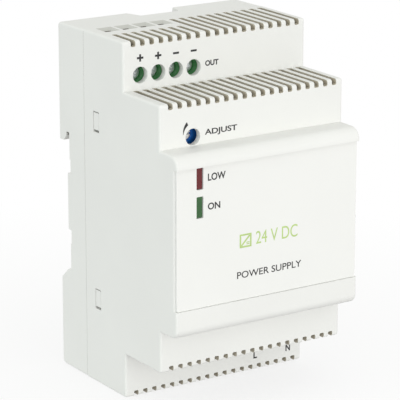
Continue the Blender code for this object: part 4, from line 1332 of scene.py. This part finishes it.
def stamped(name, outlines, face, ink="grey"):
    """Flat printed shapes, from their outlines in X and Z."""
    shapes = [prism(outline, "y", face - INK_HEIGHT, face + INK_HEIGHT) for outline in outlines]
    printed(as_object(name, together(shapes)), ink)


def bar(x, z, width, height):
    return rectangle(about(x, width / 2), about(z, height / 2))


def balanced(x, z, corners):
    """An outline that half a turn about (x, z) leaves as it is, from the corners of one half."""
    return [(x + side * a, z + side * b) for side in (1, -1) for a, b in corners]


def plus(x, z, size, stroke):
    long, thin = size / 2, stroke / 2
    arms = [(thin, long), (thin, thin), (long, thin), (long, -thin), (thin, -thin), (thin, -long)]
    return balanced(x, z, arms)


def swept_wedge(centre, start, end, radius, outer, inner):
    """A curved wedge round `centre`: a point at `start` degrees, as wide as its last radii at `end`."""
    x, z = centre
    steps = 12
    edges = []
    for last in (outer, inner):
        edge = []
        for k in range(steps + 1):
            angle = math.radians(start + (end - start) * k / steps)
            reach = radius + (last - radius) * k / steps
            edge.append((x + reach * math.cos(angle), z + reach * math.sin(angle)))
        edges.append(edge)
    return edges[0] + edges[1][:0:-1]


def converter_symbol(x, z, size, stroke):
    """The usual sign for a converter: a square cut by its diagonal, with bars for direct current."""
    half = size / 2
    edge = half - stroke / 2
    sides = [bar(x, z + side * edge, size, stroke) for side in (1, -1)]
    sides += [bar(x + side * edge, z, stroke, size - 2 * stroke - 0.02) for side in (-1, 1)]
    reach = half - stroke - 0.03
    slant = stroke * 0.7
    sides.append(balanced(x, z, [(-reach, -reach), (slant - reach, -reach), (reach, reach - slant)]))
    sides += [bar(x + size * 0.2, z - size * drop, size * 0.26, stroke * 0.55) for drop in (0.14, 0.26)]
    return sides


def marks():
    sign_z = POLES["output"][0].z + 4.2
    signs = [plus(pole.x, sign_z, 1.8, 0.52) for pole in POLES["output"][:2]]
    signs += [bar(pole.x, sign_z, 1.7, 0.5) for pole in POLES["output"][2:]]
    stamped("polarity_marks", signs, TIER1)
    words("output_mark", "OUT", (-3.1, 0.8), (37.0, 38.4), TIER1, weight=0.035)
    words("adjust_mark", "ADJUST", (-13.8, -4.6), (24.3, 26.1), TIER2, weight=0.02)
    words("low_mark", "LOW", (-17.4, -12.4), (15.5, 17.3), PLATE_FACE)
    words("on_mark", "ON", (-17.4, -13.9), (8.4, 10.1), PLATE_FACE)
    words("kind_mark", "POWER SUPPLY", (-9.0, 9.8), (-10.2, -8.5), PLATE_FACE, weight=0.006)
    words("voltage_mark", "24 V DC", (-3.6, 8.6), (-2.3, 0.9), PLATE_FACE, ink="green", weight=0.0)
    stamped("converter_mark", converter_symbol(-6.6, -0.9, 3.4, 0.42), PLATE_FACE, ink="green")
    words("line_mark", "L", (11.7, 12.8), (-41.4, -39.6), TIER1, weight=0.03)
    words("neutral_mark", "N", (21.7, 23.1), (-41.3, -39.5), TIER1, weight=0.03)
    centre = TRIMMER.xz
    stamped("turn_mark", [swept_wedge(centre, 166, 114, 2.76, 4.2, 3.3)], TIER2)


# ---- studio ----


def area_light(name, place, size, power, colour=(1, 1, 1)):
    """A soft lamp that shines at the object; places and sizes in metres."""
    data = bpy.data.lights.new(name, "AREA")
    data.shape = "RECTANGLE"
    data.size, data.size_y = size
    data.energy = power
    data.color = colour
    light = shown(name, data)
    light.location = place
    middle = Vector((0, -0.02, 0))
    light.rotation_euler = (middle - light.location).to_track_quat("-Z", "Y").to_euler()


def world(colour, strength):
    """An even surround of `colour` and `strength`, which the camera itself sees as white."""
    sky = bpy.data.worlds.new("studio")
    sky.use_nodes = True
    nodes = Nodes(sky.node_tree)
    sky.node_tree.nodes.clear()
    around = nodes.add("ShaderNodeBackground", {"Color": (*colour, 1), "Strength": strength})
    white = nodes.add("ShaderNodeBackground", {"Color": (1, 1, 1, 1), "Strength": 1.0})
    seen = nodes.add("ShaderNodeLightPath").outputs["Is Camera Ray"]
    mixed = nodes.add("ShaderNodeMixShader", {0: seen, 1: around.outputs[0], 2: white.outputs[0]})
    nodes.add("ShaderNodeOutputWorld", {"Surface": mixed.outputs[0]})
    bpy.context.scene.world = sky


def floor():
    """A pale floor that fades into the white surround away from the object."""
    plane = bpy.data.meshes.new("floor")
    across = (-6.0, 6.0)
    plane.from_pydata([(x, y, BOTTOM * MM) for x, y in rectangle(across, across)], [], [(0, 1, 2, 3)])
    look = material("floor", (0.9, 0.9, 0.9), 0.8, tint=0.004, patch=80)
    nodes = Nodes(look.node_tree)
    place = nodes.add("ShaderNodeTexCoord").outputs["Object"]
    away = nodes.add("ShaderNodeVectorMath", {0: place}, operation="LENGTH").outputs["Value"]
    far = nodes.spread(away, (0.04, 0.15), (0.72, 1.0))
    seen = nodes.add("ShaderNodeLightPath").outputs["Is Camera Ray"]
    strength = nodes.spread(seen, (0, 1), (0.57, 1.0))
    white = nodes.add("ShaderNodeEmission", {"Color": (1, 1, 1, 1), "Strength": strength})
    plain = look.node_tree.nodes["Principled BSDF"]
    mixed = nodes.add("ShaderNodeMixShader", {0: far, 1: plain.outputs[0], 2: white.outputs[0]})
    look.node_tree.links.new(mixed.outputs[0], look.node_tree.nodes["Material Output"].inputs["Surface"])
    plane.materials.append(look)
    shown("floor", plane)


def studio():
    warm, cool = (1.0, 0.995, 0.985), (0.88, 1.0, 0.985)
    world(colour=(0.99, 1.0, 0.98), strength=0.9)
    area_light("front", (0.1, -1.1, 0.03), size=(1.0, 0.12), power=3.0)
    area_light("key", (0.35, -1.1, 0.22), size=(0.9, 0.4), power=1.4, colour=warm)
    area_light("left", (-1.1, -0.2, 0.12), size=(0.6, 0.5), power=3.3, colour=cool)
    floor()


def camera():
    """The viewpoint: in front, a third of the way round to the left side, looking slightly down."""
    target = Vector((3.86, -14.2, -1.10)) * MM
    azimuth, elevation, distance = math.radians(-33.0), math.radians(15.93), 0.6112
    level = math.cos(elevation)
    back = Vector((math.sin(azimuth) * level, -math.cos(azimuth) * level, math.sin(elevation)))
    data = bpy.data.cameras.new("camera")
    data.lens = 216.73
    data.sensor_width = 36.0
    data.clip_start = 0.01
    eye = shown("camera", data)
    eye.location = target + back * distance
    eye.rotation_euler = (-back).to_track_quat("-Z", "Y").to_euler()
    bpy.context.scene.camera = eye


# ---- the whole ----

cover()
base()
plate()
latch()
spring()
terminals()
for lamp_name, lamp_centre in LAMPS.items():
    lamp(lamp_name, lamp_centre)
trimmer()
inside()
marks()
studio()
camera()
bpy.context.scene.view_settings.view_transform = "Standard"
